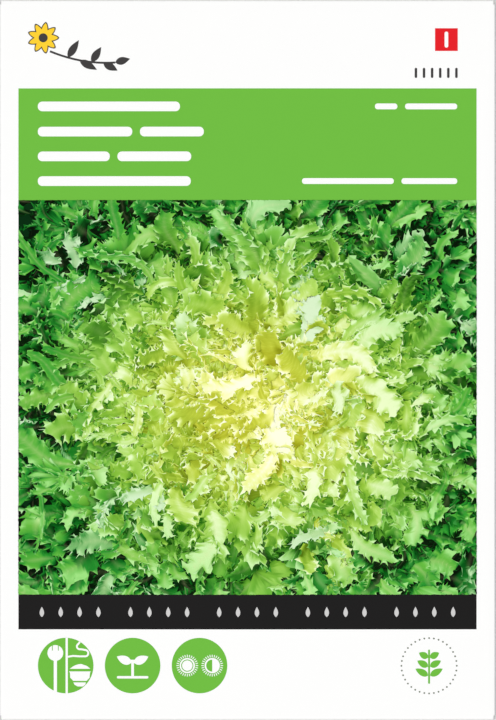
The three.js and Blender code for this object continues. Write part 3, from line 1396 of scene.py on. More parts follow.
@dataclass
class Spots(Rows):
    """Points of leaf surface."""

    points: Points  # in millimetres round the picture's middle
    place: Points  # in a unit square, for maps
    normal: Points
    rim: Points  # share of the way from the rib to the toothed edge
    rib: Points  # strength of the pale rib
    leaf: Points  # the leaf's random number
    frill: Points  # how pale its lobe's edge is
    lobe: np.ndarray  # number of its lobe


@dataclass
class Surface:
    """Leaf surface as grids of points, one for each lobe."""

    points: Points  # the axes are the lobes, the two ways of a grid, and x, y and z
    rim: Points
    rib: Points
    place: Points
    leaf: Points  # one number for each lobe

    def spots(self, used: np.ndarray) -> Spots:
        """Some of the points, with all that is known of them.

        Args:
            used: Their numbers, counted through all the grids.

        Returns:
            The points.
        """
        shape = self.points.shape[:3]
        lobe = np.arange(shape[0])[:, None, None]
        place = np.broadcast_to(self.place, (*shape, 2))
        normal = unit(np.cross(np.gradient(self.points, axis=1), np.gradient(self.points, axis=2)))
        frill = 0.4 + 1.2 * np.mod(0.618 * lobe, 1)
        facts = (self.rim, self.rib, self.leaf[:, None, None], frill, lobe)
        return Spots(
            *(rows.reshape(-1, rows.shape[-1])[used] for rows in (self.points, place, normal)),
            *(np.broadcast_to(fact, shape).reshape(-1)[used] for fact in facts),
        )

    def triangles(self) -> np.ndarray:
        """Makes triangles between the points of each grid.

        Returns:
            Three points' numbers in each row.
        """
        index = np.arange(math.prod(self.points.shape[:3])).reshape(self.points.shape[:3])
        a, b = index[:, :-1, :-1], index[:, 1:, :-1]
        c, d = index[:, 1:, 1:], index[:, :-1, 1:]
        return np.stack([a, b, c, a, c, d], -1).reshape(-1, 3)


@dataclass
class LobeShaper:
    """What the shapers of lobes share."""

    rng: np.random.Generator
    group: LeafGroup
    lobes: Lobes
    splay: float = 0.15  # share of an edge's rise that its teeth take up
    pattern: Sequence[float] = (0.0, 1.0, 0.12)  # lengths of a few teeth in a row

    def draw(self, low: float, high: float) -> Points:
        """One draw for each lobe, ready to spread along it."""
        return self.rng.uniform(low, high, (len(self.lobes.size), 1))

    def tips(self, edge: Points, inner: Points, aside: Points, lean: Range) -> Points:
        """Tips of the teeth along an edge, uneven in length.

        Args:
            edge: Points along the edge.
            inner: The points beside them, further in.
            aside: The way that the teeth lean.
            lean: How far they lean, as a share of their length.

        Returns:
            A tip for each point of the edge.
        """
        steps = edge.shape[1]
        pattern = np.tile(self.pattern, steps)[:steps]
        uneven = 0.25 + 0.95 * self.rng.uniform(0, 1, edge.shape[:2]) ** 1.5
        length = 0.05 + self.group.tooth * pattern * uneven
        sideways = length * self.rng.uniform(*lean, length.shape)
        away = unit((edge - inner) * (1, 1, self.splay))
        return edge + away * length[..., None] + aside * sideways[..., None]


@dataclass
class FanShaper(LobeShaper):
    """Shapes lobes as fans: each rises from its foot, rolls over, and ruffles out to a toothed edge."""

    across: int = 73  # points across a fan
    out: Sequence[float] = (0.0, 0.24, 0.45, 0.63, 0.79, 0.92)  # shares of the way out that have points
    lift: Range = (0.1, 1.3)  # slope at the foot
    roll: Range = (-2.8, 0.6)  # what the slope gains on the way out
    waves: Range = (2.2, 4.6)  # of the ruffle, in half-turns to each side
    ruffle: Range = (0.1, 0.28)
    cup: Range = (-0.2, 0.4)
    opening: Range = (0.6, 1.35)  # half the fan's angle

    def draw(self, low: float, high: float) -> Points:
        """One draw for each lobe, ready to spread over its grid."""
        return super().draw(low, high)[..., None]

    def surface(self) -> Surface:
        """Shapes the lobes.

        Returns:
            Their surface.
        """
        a = np.linspace(-1, 1, self.across)[None, None, :]
        r = np.array(self.out)[None, :, None]
        size = self.lobes.size[:, None, None]
        slope = self.draw(*self.lift) + self.draw(*self.roll) * (r[:, 1:] + r[:, :-1]) / 2
        steps = [np.diff(r, axis=1) * share for share in (np.cos(slope), np.sin(slope))]
        out, up = (np.concatenate([0 * step[:, :1], np.cumsum(step, 1)], 1) for step in steps)
        phase = math.pi * self.draw(*self.waves) * a + self.draw(0, 6)
        phase = phase + 0.6 * np.sin(math.pi * self.draw(1, 3) * a)
        outline = size * (1 - 0.3 * np.abs(a) ** 3)
        outline = outline * (1 + 0.16 * np.sin(1.7 * phase + self.draw(0, 6)))
        ruffle = np.minimum(size, 6) * self.draw(*self.ruffle) * r**2
        cup = size * self.draw(*self.cup) * np.abs(a) * r
        rise = up * outline + ruffle * np.sin(phase) + cup
        slide = -0.55 * ruffle * np.sin(2 * phase + self.draw(-0.6, 0.6))
        turn = self.lobes.heading[:, None, None] + self.draw(*self.opening) * a
        points = np.stack([*turned(out * outline, slide, turn), rise], -1)
        points = points + self.lobes.foot[:, None, None, :]
        edge, inner = points[:, -1], points[:, -2]
        tips = self.tips(edge, inner, unit(np.gradient(edge, axis=1)), (-0.5, 0.5))
        rim = np.append(self.out, 1.0)[None, :, None]
        rib = np.exp(-((a / 0.07) ** 2)) * np.clip(0.9 - rim, 0, 1)
        place = np.stack(np.broadcast_arrays(0.5 + 0.46 * a, 0.04 + 0.92 * rim), -1)
        return Surface(np.concatenate([points, tips[:, None]], 1), rim, rib, place, self.lobes.leaf)


@dataclass
class Ribs:
    """The ribs of straps, with one row for each strap and one column for each point along it."""

    t: Points  # share of the way along
    length: Points
    middle: Points
    ahead: Points
    aside: Points  # across the strap
    above: Points  # out of its face
    width: Points  # half-widths of the strap


@dataclass
class StrapShaper(LobeShaper):
    """Shapes lobes as straps: each bends and twists along its rib, with ruffled toothed edges."""

    shares: Sequence[float] = (0.0, 0.34, 0.62, 0.82, 0.93, 1.0)  # of the half-width that have points
    tip: float = 1.12  # the share at which the teeth's tips count
    stretch: Range = (1.2, 2.1)  # length, by the lobe's size
    bend: Range = (-1.4, 1.4)
    lift: Range = (0.1, 1.1)  # slope at the foot
    droop: Range = (-2.4, 0.4)  # what the slope gains by the tip
    wave: Range = (2.4, 4.4)  # length of a ruffle
    notch_pitch: Range = (2.6, 4.6)
    notch_depth: Range = (0.2, 0.62)
    curl: Range = (-0.5, 1.0)
    ruffle: Range = (0.4, 1.5)

    def ribs(self) -> Ribs:
        """Bends and twists a rib for each lobe.

        Returns:
            The ribs.
        """
        t = np.linspace(0, 1, self.group.along)[None, :]
        slim = self.draw(0, self.group.slimmest)
        length = self.lobes.size[:, None] * (self.draw(*self.stretch) + 0.9 * slim**2)
        heading = self.lobes.heading[:, None] + self.draw(*self.bend) * t
        heading = heading + 0.35 * np.sin(6 * t + self.draw(0, 6))
        slope = self.draw(*self.lift) + self.draw(*self.droop) * t
        reach = np.cos(slope)
        ahead = np.stack([reach * np.cos(heading), reach * np.sin(heading), np.sin(slope)], -1)
        middle = self.lobes.foot[:, None, :] + length[..., None] * np.cumsum(ahead, 1) / self.group.along
        level = np.stack([-np.sin(heading), np.cos(heading), 0 * heading], -1)
        upright = np.cross(ahead, level)
        twist = (self.draw(-0.9, 0.9) + self.draw(-1.2, 1.2) * t)[..., None]
        aside = level * np.cos(twist) + upright * np.sin(twist)
        above = upright * np.cos(twist) - level * np.sin(twist)
        profile = 1.9 * (t + 0.02) ** 0.6 * (1.001 - t) ** 0.42
        width = np.minimum(self.lobes.size, 6.5)[:, None] * (0.6 - 0.42 * slim) * profile
        return Ribs(t, length, middle, ahead, aside, above, width)

    def side(self, ribs: Ribs, way: int) -> Points:
        """One side of each strap, notched, curled and ruffled.

        Args:
            ribs: The ribs.
            way: -1 for one side, 1 for the other.

        Returns:
            Points along and across it, from the rib to the tips of the teeth.
        """
        t, length = ribs.t, ribs.length
        phase = 2 * math.pi * length / self.draw(*self.wave) * t + self.draw(0, 6)
        phase = phase + 0.9 * np.sin(7 * t + self.draw(0, 6))
        notch = math.pi * length / self.draw(*self.notch_pitch) * t
        notch = notch + 0.8 * np.sin(5 * t + self.draw(0, 6))
        notch = np.abs(np.sin(notch + self.draw(0, 3)))
        width = ribs.width * (1 - self.draw(*self.notch_depth) * (1 - notch**0.7))
        curl, ruffle = self.draw(*self.curl), self.draw(*self.ruffle)
        beyond = over = 0 * width
        rows = [ribs.middle]
        for inner, outer in zip(self.shares, self.shares[1:]):
            share, step = (inner + outer) / 2, width * (outer - inner)
            angle = curl * share + ruffle * share**3 * np.sin(phase)
            beyond = beyond + step * np.cos(angle)
            over = over + step * np.sin(angle)
            slide = outer * 0.5 * width - 0.35 * outer**3 * np.sin(2 * phase + 0.5)
            moves = ((way * ribs.aside, beyond), (ribs.above, over), (ribs.ahead, slide))
            rows.append(ribs.middle + sum(axis * far[..., None] for axis, far in moves))
        rows.append(self.tips(rows[-1], rows[-2], ribs.ahead, (-0.3, 0.7)))
        return np.stack(rows, 2)

    def surface(self) -> Surface:
        """Shapes the lobes.

        Returns:
            Their surface.
        """
        ribs = self.ribs()
        left, right = self.side(ribs, -1), self.side(ribs, 1)
        t, shares = ribs.t[..., None], np.append(self.shares, self.tip)
        s = np.concatenate([-shares[:0:-1], shares])[None, None, :]
        rim = np.abs(s)
        veins = np.clip(np.cos(2 * math.pi * (11 * t - 2 * rim)), 0, 1) ** 6 * (1.15 - rim)
        large = np.clip(self.lobes.size / 4 - 1.4, 0, 1)[:, None, None]
        rib = np.exp(-((s / self.group.rib) ** 2)) * (1 - t) ** 0.5 + 0.7 * large * veins
        place = np.stack(np.broadcast_arrays(0.5 + 0.41 * s, 0.04 + 0.92 * t), -1)
        points = np.concatenate([left[:, :, :0:-1], right], 2)
        return Surface(points, np.clip(rim, 0, 1), rib, place, self.lobes.leaf)


class HeightField:
    """How high the head's leaves stand over a fine grid, for what hides what and the shade between."""

    CELL = 0.2  # width, in millimetres
    MARGIN = 6.0  # round the area that counts
    EMPTY = -50.0  # height where there is no leaf
    NEAR, FAR = 6, 18  # reach of the means, in cells

    def __init__(self, grids: Sequence[Points], half: Points) -> None:
        """Finds the highest leaf over each cell, and the height around each cell.

        Args:
            grids: Points of all the leaf surfaces.
            half: Half the width and height of the area that counts.
        """
        self.low = min(points[..., 2].min() for points in grids)
        self.high = max(points[..., 2].max() for points in grids)
        self.half = half + self.MARGIN
        self.shape = tuple(int(2 * size / self.CELL) + 1 for size in self.half)
        top = np.full(math.prod(self.shape), self.EMPTY)
        for points in grids:
            for samples in self.samples(points):
                cells = np.ravel_multi_index(self.cells(samples), self.shape)
                np.maximum.at(top, cells, samples[:, 2])
        self.top = top.reshape(self.shape)
        steps = (-1, 0, 1)
        around_each = [np.roll(self.top, (x, y), (0, 1)) for x in steps for y in steps]
        self.cover = np.minimum.reduce(around_each)
        bare = self.top < self.EMPTY + 10
        filled = np.where(bare, self.top[~bare].mean(), self.top)
        self.near, self.far = (self.blurred(filled, reach) for reach in (self.NEAR, self.FAR))

    @staticmethod
    def samples(points: Points) -> Iterator[Points]:
        """Spreads samples over every cell of a surface's grids.

        Args:
            points: The grids' points.

        Returns:
            The samples, in batches.
        """
        a, b = points[:, :-1, :-1], points[:, 1:, :-1]
        c, d = points[:, 1:, 1:], points[:, :-1, 1:]
        for first in (0.1, 0.3, 0.5, 0.7, 0.9):
            low, high = a + (b - a) * first, d + (c - d) * first
            for second in (0.2, 0.5, 0.8):
                yield (low + (high - low) * second).reshape(-1, 3)

    def cells(self, points: Points) -> tuple[np.ndarray, ...]:
        """Column and row of the cells that hold these places."""
        scaled = ((points[..., :2] + self.half) / self.CELL).astype(int)
        return tuple(np.clip(scaled[..., axis], 0, self.shape[axis] - 1) for axis in (0, 1))

    @staticmethod
    def blurred(values: Points, reach: int) -> Points:
        """Mean over a square of cells, twice.

        Args:
            values: The values.
            reach: How many cells the square reaches to each side.

        Returns:
            The means.
        """
        for axis in (0, 1, 0, 1):
            moved = (np.roll(values, step, axis) for step in range(-reach, reach + 1))
            values = sum(moved) / (2 * reach + 1)
        return values

    def sunk(self, points: Points) -> Points:
        """How deep points lie below the leaves around them.

        Args:
            points: The points.

        Returns:
            Numbers from 0 to 1.
        """
        cells, z = self.cells(points), points[..., 2]
        near = np.clip((self.near[cells] - z + 0.2) / 4.0, 0, 1)
        far = np.clip((self.far[cells] - z + 0.5) / 8.0, 0, 1)
        return 1 - (1 - 0.75 * near) * (1 - 0.75 * far)

    def shadow(self, points: Points, light: Points) -> Points:
        """How much of the light other leaves take from points.

        Args:
            points: The points.
            light: Where the light comes from.

        Returns:
            Numbers from 0 to 1.
        """
        taken = np.zeros(points.shape[:-1])
        for step in range(1, 10):
            probe = points + 0.5 * step * light / math.hypot(light[0], light[1])
            over = self.top[self.cells(probe)] - probe[..., 2]
            taken = np.maximum(taken, np.clip(over / 1.2, 0, 1))
        return taken


@dataclass(frozen=True)
class LeafLight:
    """How light falls on the leaves of the picture and fades between them."""

    way: tuple[float, float, float] = (-0.45, 0.55, 0.7)  # towards the light
    base: float = 0.375  # tone where no light falls
    loss: float = 0.05  # of tone at the head's rim
    diffuse: float = 0.46
    gloss: float = 0.22
    sharpness: float = 30.0
    edge: Range = (0.04, 0.28)  # what a pale edge adds in shade, and in full light besides
    swing: float = 0.05  # from leaf to leaf
    depth: Range = (0.44, 0.38)  # of gaps at the heart, and what comes on top at the rim
    cast: float = 0.6  # darkness of a shadow beside that of a gap

    def tone(self, spots: Spots, heights: HeightField, outward: Points) -> Points:
        """How light each point prints.

        Args:
            spots: The points.
            heights: The height of the whole head.
            outward: How far out in the head each point is, from 0 to 1.

        Returns:
            Tones from 0 in deep shade to 1 in full gloss.
        """
        light = unit(np.array(self.way))
        upward = spots.normal * np.sign(spots.normal[..., 2:3] + 1e-9)
        facing = np.clip(0.15 + 0.85 * (upward @ light), 0, 1)
        gloss = np.clip(upward @ unit(light + (0, 0, 1)), 0, 1) ** self.sharpness
        edge = np.clip((spots.rim - 0.6) / 0.4, 0, 1) ** 2 * (1.05 - 0.6 * outward) * spots.frill
        lit = self.base - self.loss * outward + self.diffuse * facing**1.5 + self.gloss * gloss
        lit = lit + edge * (self.edge[0] + self.edge[1] * facing) + self.swing * spots.leaf
        depth = self.depth[0] + self.depth[1] * outward
        open_to = 1 - self.cast * depth * heights.shadow(spots.points, light)
        return np.clip(lit * (1 - depth * heights.sunk(spots.points)) * open_to, 0, 1)


@dataclass
class FrilledHead(FrontBlock):
    """The picture: a head of frilled leaves from above, modelled lobe by lobe and pressed flat.

    Its sizes are in millimetres, but for the heart's ground.
    """

    sheet: FoldedSheet = field(default_factory=FoldedSheet)
    heart_ground: Sequence[float] = (3 * MM, -7 * MM, 48 * MM, 42 * MM)  # middle, width and height
    centre: Place = (7.0, -8.0)  # of the heart
    seed: int = 11  # start of the random draws
    dome: float = 36.0  # how far the heart stands above the leaves round it
    dome_radius: float = 95.0
    relief: float = 0.09  # thickness once it is pressed
    lift: float = 0.045  # of its lowest point over the paper
    light: LeafLight = LeafLight()
    hidden_depth: float = 0.8  # below which a leaf under others is left out
    zone_radii: Sequence[float] = (6, 26, 42, 54)  # where each zone of colour is full
    tint_centre: Place = (2.0, -10.0)
    tint_stretch: float = 1.14

    def __post_init__(self) -> None:
        """Works out the picture's middle and half its size, shapes every leaf, and finds what is on top."""
        self.origin = np.array([0.0, self.middle / MM, 0.0])
        self.half = np.array([LAYOUT.half_width, (self.top - self.bottom) / 2]) / MM
        rng = np.random.default_rng(self.seed)
        self.groups = {name: self.surfaces(group, rng) for name, group in HEAD_LEAVES.items()}
        grids = [surface.points for surfaces in self.groups.values() for surface in surfaces]
        self.heights = HeightField(grids, self.half)

    def build(self) -> Iterator[Piece]:
        """Lays the picture's grounds and the pieces of the head.

        Returns:
            The pieces, one by one.
        """
        yield self.ground("picture_ground", GROUND_GREEN)
        heart = self.side.panel(*self.heart_ground)
        yield self.side.lay("picture_heart_ground", [heart], GROUND_OLIVE, layer=2)
        for name, surfaces in self.groups.items():
            yield self.piece(name, surfaces)

    def surfaces(self, group: LeafGroup, rng: np.random.Generator) -> list[Surface]:
        """Places and shapes the lobes of a group of leaves.

        Args:
            group: The group.
            rng: The random draws.

        Returns:
            The surface of its straps, and of its fans if it has any.
        """
        lobes = Lobes.stacked([self.ring_lobes(ring, rng) for ring in group.rings])
        lobes.foot += np.array([*self.centre, 0.0]) - self.origin
        fan = rng.uniform(size=len(lobes.size)) < group.fan_share
        kinds = ((StrapShaper, ~fan), (FanShaper, fan))
        return [shaper(rng, group, lobes.chosen(keep)).surface() for shaper, keep in kinds if keep.any()]

    def ring_lobes(self, ring: LeafRing, rng: np.random.Generator) -> Lobes:
        """Sets out the lobes of a ring of leaves.

        Args:
            ring: The ring.
            rng: The random draws.

        Returns:
            The lobes, placed round the heart.
        """
        per_leaf = partial(rng.uniform, size=(ring.count, 1))
        per_lobe = partial(rng.uniform, size=(ring.count, ring.lobes))
        order = np.arange(ring.lobes)[None, :]
        behind = 0.8 * (1 - (order + 1) / ring.lobes)
        share = 1 - behind
        side = np.where(order % 2 == 0, 1, -1) * (order < ring.lobes - 1)
        turn = 2 * math.pi * (np.arange(ring.count)[:, None] + per_leaf(-0.45, 0.45)) / ring.count
        turn = turn + rng.uniform(0, 6)
        length = ring.length * per_leaf(0.85, 1.15)
        along = ring.reach * per_leaf(0.94, 1.06) - length * behind
        bend = length * per_leaf(-0.3, 0.3)
        x, y = turned(along, bend * share**1.8, turn)
        dome = self.dome * (1 - (np.hypot(x, y) / self.dome_radius) ** 2)
        z = dome - 0.3 * length * behind**1.3 - ring.drop + per_leaf(-3.5, 3.5) + per_lobe(-1.2, 1.2)
        lean = np.arctan(1.8 * bend / length * share**0.8)
        heading = turn + lean + side * per_lobe(0.4, 1.5) + per_lobe(-0.5, 0.5)
        size = ring.lobe * (per_lobe(0.55, 1.1) + 0.9 * per_lobe(0, 1) ** 4) * (0.8 + 0.2 * share)
        leaf = np.broadcast_to(rng.normal(0, 1, (ring.count, 1)), size.shape)
        return Lobes(np.stack([x, y, z], -1).reshape(-1, 3), heading.ravel(), size.ravel(), leaf.ravel())

    def colours(self, spots: Spots) -> Points:
        """Inks each point by where it is, how it is lit, and what part of its leaf it is on.

        Args:
            spots: The points.

        Returns:
            Scene-linear colours.
        """
        x, y = (spots.points + self.origin)[:, :2].T - np.array(self.tint_centre)[:, None]
        away = np.hypot(x / self.tint_stretch, y) + 3.5 * spots.leaf
        zone = np.interp(away, self.zone_radii, range(len(self.zone_radii)))
        tone = self.light.tone(spots, self.heights, zone / (len(self.zone_radii) - 1))
        heart = np.clip(1.6 - zone, 0, 1)
        tone = np.clip(tone * (1 + 0.45 * spots.rib * heart), 0, 1)
        ink = tinted(SHADES.mixed(zone, tone), SHADES.midrib, 0.5 * spots.rib * tone * (1 - heart))
        under = (spots.normal[..., 2] < 0) * 0.25 + np.clip(spots.leaf - 1.0, 0, 0.75)
        bloom = under * np.clip(zone, 0.1, 1) * np.clip(2 * tone - 0.6, 0, 1)
        return tinted(ink, SHADES.bloom, bloom)

    def piece(self, name: str, surfaces: Sequence[Surface]) -> Piece:
        """Lays some leaves on the paper as one piece, cut to the picture's edges.

        Args:
            name: The piece's name.
            surfaces: The leaves.

        Returns:
            The piece.
        """
        parts, faces, start, cells = [], [], 0, 0
        for surface in surfaces:
            used, corners = np.unique(self.showing(surface), return_inverse=True)
            part = surface.spots(used)
            part.lobe = np.unique(part.lobe, return_inverse=True)[1] + cells
            parts.append(part)
            faces.append(corners.reshape(-1, 3) + start)
            start, cells = start + len(used), part.lobe.max() + 1
        spots, triangles = Spots.stacked(parts), np.concatenate(faces)
        piece = mesh_piece(name, self.laid(spots.points), triangles)
        inks = np.column_stack([self.colours(spots), np.ones(start)])
        layer = piece.data.color_attributes.new(PICTURE_INK.layer, "FLOAT_COLOR", "POINT")
        layer.data.foreach_set("color", inks.astype(np.float32).ravel())
        side = math.ceil(math.sqrt(cells))
        atlas = (spots.place + np.column_stack([spots.lobe % side, spots.lobe // side])) / side
        unwrapped = piece.data.uv_layers.new(name="OFBake")
        unwrapped.data.foreach_set("uv", atlas[triangles.ravel()].astype(np.float32).ravel())
        self.trim(piece)
        piece.data.materials.append(PICTURE_INK.material())
        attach(piece, ROOT)
        return piece

    def showing(self, surface: Surface) -> np.ndarray:
        """Finds what a reader sees of a surface: inside the picture, and not hidden by other leaves.

        Args:
            surface: The surface.

        Returns:
            Its triangles, each turned to face the reader.
        """
        points, triangles = surface.points.reshape(-1, 3), surface.triangles()
        first, second = (points[triangles[:, n], :2] - points[triangles[:, 0], :2] for n in (1, 2))
        area = first[:, 0] * second[:, 1] - first[:, 1] * second[:, 0]
        triangles = np.where(area[:, None] < 0, triangles[:, ::-1], triangles)[np.abs(area) > 1e-4]
        within = (np.abs(points[:, :2]) < self.half).all(1)
        triangles = triangles[within[triangles].any(1)]
        seen = np.zeros(len(triangles), bool)
        for shares in ((1, 0, 0), (0, 1, 0), (0, 0, 1), (1, 1, 0), (0, 1, 1), (1, 0, 1), (1, 1, 1)):
            probe = np.tensordot(np.array(shares) / sum(shares), points[triangles], (0, 1))
            seen |= probe[:, 2] > self.heights.cover[self.heights.cells(probe)] - self.hidden_depth
        return triangles[seen]

    def laid(self, points: Points) -> Points:
        """Presses points of the head flat and lays them on the paper.

        Args:
            points: The points.

        Returns:
            Their places on the packet, in metres.
        """
        x, y = (points + self.origin)[:, :2].T * MM
        low, high = self.heights.low, self.heights.high
        pressed = (points[:, 2] - low) / (high - low) * self.relief
        return np.stack([x, y, self.sheet.front(x, y) + (self.lift + pressed) * MM], -1)

    def trim(self, piece: Piece) -> None:
        """Cuts a piece along the picture's four edges.

        Args:
            piece: The piece.
        """
        with editing(piece):
            for x, y in ((1, 0), (-1, 0), (0, 1), (0, -1)):
                edge = (x * self.half[0] * MM, self.middle + y * self.half[1] * MM, 0)
                bpy.ops.mesh.select_all(action="SELECT")
                bpy.ops.mesh.bisect(plane_co=edge, plane_no=(x, y, 0), clear_outer=True)


# ---------------- the back's print


@dataclass
class BackPrint(Print):
    """The back's plain print: a header, rows of bars, a sowing calendar, a spacing sketch and a ruled box."""

    half_width: float = 46 * MM
    top: float = 54 * MM
    header: float = 8 * MM
    title: Place = (32 * MM, 2.2 * MM)
    text: float = 0.9 * MM  # height of a bar of text
    text_pitch: float = 2.6 * MM
    paragraph_gap: float = 2.4 * MM
    months: int = 12
    sowing: tuple[int, int] = (3, 8)  # the first filled box of the calendar, and the one after the last
    box: float = 6.6 * MM
    line: float = 0.25 * MM
    plants: int = 3

    def build(self) -> Iterator[Piece]:
        """Models and lays the back's films.

        Returns:
            The films, one by one.
        """
        middle = self.top - self.header / 2
        ground = self.side.panel(0, middle, 2 * self.half_width, self.header)
        yield self.side.lay("back_header", [ground], HEADER_GREEN)
        title = self.side.bar(-self.half_width + 4 * MM + self.title[0] / 2, middle, *self.title)
        yield self.side.lay("back_header_bar", [title], KNOCKOUT_WHITE, layer=2)
        lines = []
        y = self.top - self.header - 5 * MM
        for paragraph in range(3):
            for line in range(4):
                share = 0.62 if line == 3 else 1 - 0.05 * ((line + paragraph) % 3)
                length = 2 * self.half_width * share
                lines.append(self.side.bar(-self.half_width + length / 2, y, length, self.text))
                y -= self.text_pitch
            y -= self.paragraph_gap
        yield self.side.lay("back_text_bars", lines, FINE_BLACK)
        yield from self.calendar(y - 7 * MM)
        yield from self.spacing(y - 25 * MM)
        width, height = 44 * MM, 20 * MM
        x, y = self.half_width - width / 2, y - 19.5 * MM - height / 4
        lines = [self.side.panel(x, y + row * 5 * MM, width - 6 * MM, self.line) for row in (-1, 0, 1)]
        yield self.side.lay("ruled_box", self.border(x, y, width, height) + lines, FINE_BLACK)

    def border(self, x: float, y: float, width: float, height: float) -> list[Piece]:
        """The four thin lines round a box.

        Args:
            x: The box's middle.
            y: The box's middle.
            width: Its width.
            height: Its height.

        Returns:
            The lines.
        """
        lines = []
        for end in (-1, 1):
            lines.append(self.side.panel(x + end * width / 2, y, self.line, height - self.line))
            lines.append(self.side.panel(x, y + end * height / 2, width + self.line, self.line))
        return lines

    def calendar(self, y: float) -> Iterator[Piece]:
        """A row of numbered boxes, the sowing months filled.

        Args:
            y: Height of the boxes' middles.

        Returns:
            The films, one by one.
        """
        pitch = 2 * self.half_width / self.months
        frames, fills, numbers = [], [], []
        for month in range(self.months):
            x = -self.half_width + (month + 0.5) * pitch
            if month in range(*self.sowing):
                fills.append(self.side.panel(x, y, self.box, self.box))
            frames += self.border(x, y, self.box, self.box)
            numbers.append(self.number(month + 1, x, y + self.box / 2 + 2.2 * MM))
        yield self.side.lay("calendar_boxes", frames, FINE_BLACK, layer=2)
        yield self.side.lay("calendar_sowing", fills, HEADER_GREEN)
        yield self.side.lay("calendar_numbers", numbers, FINE_BLACK)

    def number(self, value: int, x: float, y: float) -> Piece:
        """A plain month number.

        Args:
            value: The number.
            x: Its middle.
            y: Its middle.

        Returns:
            The number as a flat shape.
        """
        text = started(bpy.ops.object.text_add)
        text.data.body = str(value)
        text.data.size = 3 * MM
        text.data.align_x = text.data.align_y = "CENTER"
        select_only(text)
        bpy.ops.object.convert(target="MESH")
        return self.side.put(bpy.context.active_object, x, y)

    def spacing(self, y: float) -> Iterator[Piece]:
        """Seedlings in a row over a scale with a tick under each.

        Args:
            y: Height of the ground.

        Returns:
            The films, one by one.
        """
        left, pitch, tick = -self.half_width + 5 * MM, 14 * MM, 1.2 * MM
        reach, ground, scale_y = (self.plants - 1) * pitch, 0.6 * MM, y - 5 * MM
        plants = [self.side.bar(left + reach / 2, y, reach + 10 * MM, ground)]
        scale = [self.side.panel(left + reach / 2, scale_y, reach + self.line, self.line)]
        shape = seedling(4.0 * MM, ground, (4.0 * MM, 1.9 * MM), 0.5)
        for index in range(self.plants):
            x = left + index * pitch
            plants.append(self.side.outline(shape, x, y + ground / 2))
            for way in (-1, 1):
                scale.append(self.side.panel(x, scale_y + way * (self.line + tick) / 2, self.line, tick))
        yield self.side.lay("spacing_plants", plants, HEADER_GREEN)
        yield self.side.lay("spacing_scale", scale, FINE_BLACK)


# ---------------- seeds and glue


@dataclass
class CarriedOver:
    """Solids that keep their form and get a finish."""

    names: str  # pattern of their names
    finish: Finish

    def build(self) -> Iterator[Piece]:
        """Dresses the solids.

        Returns:
            The solids, one by one.
        """
        for name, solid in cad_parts.items():
            if fnmatch(name, self.names):
                solid.data.materials.clear()
                solid.data.materials.append(self.finish.material())
                yield solid


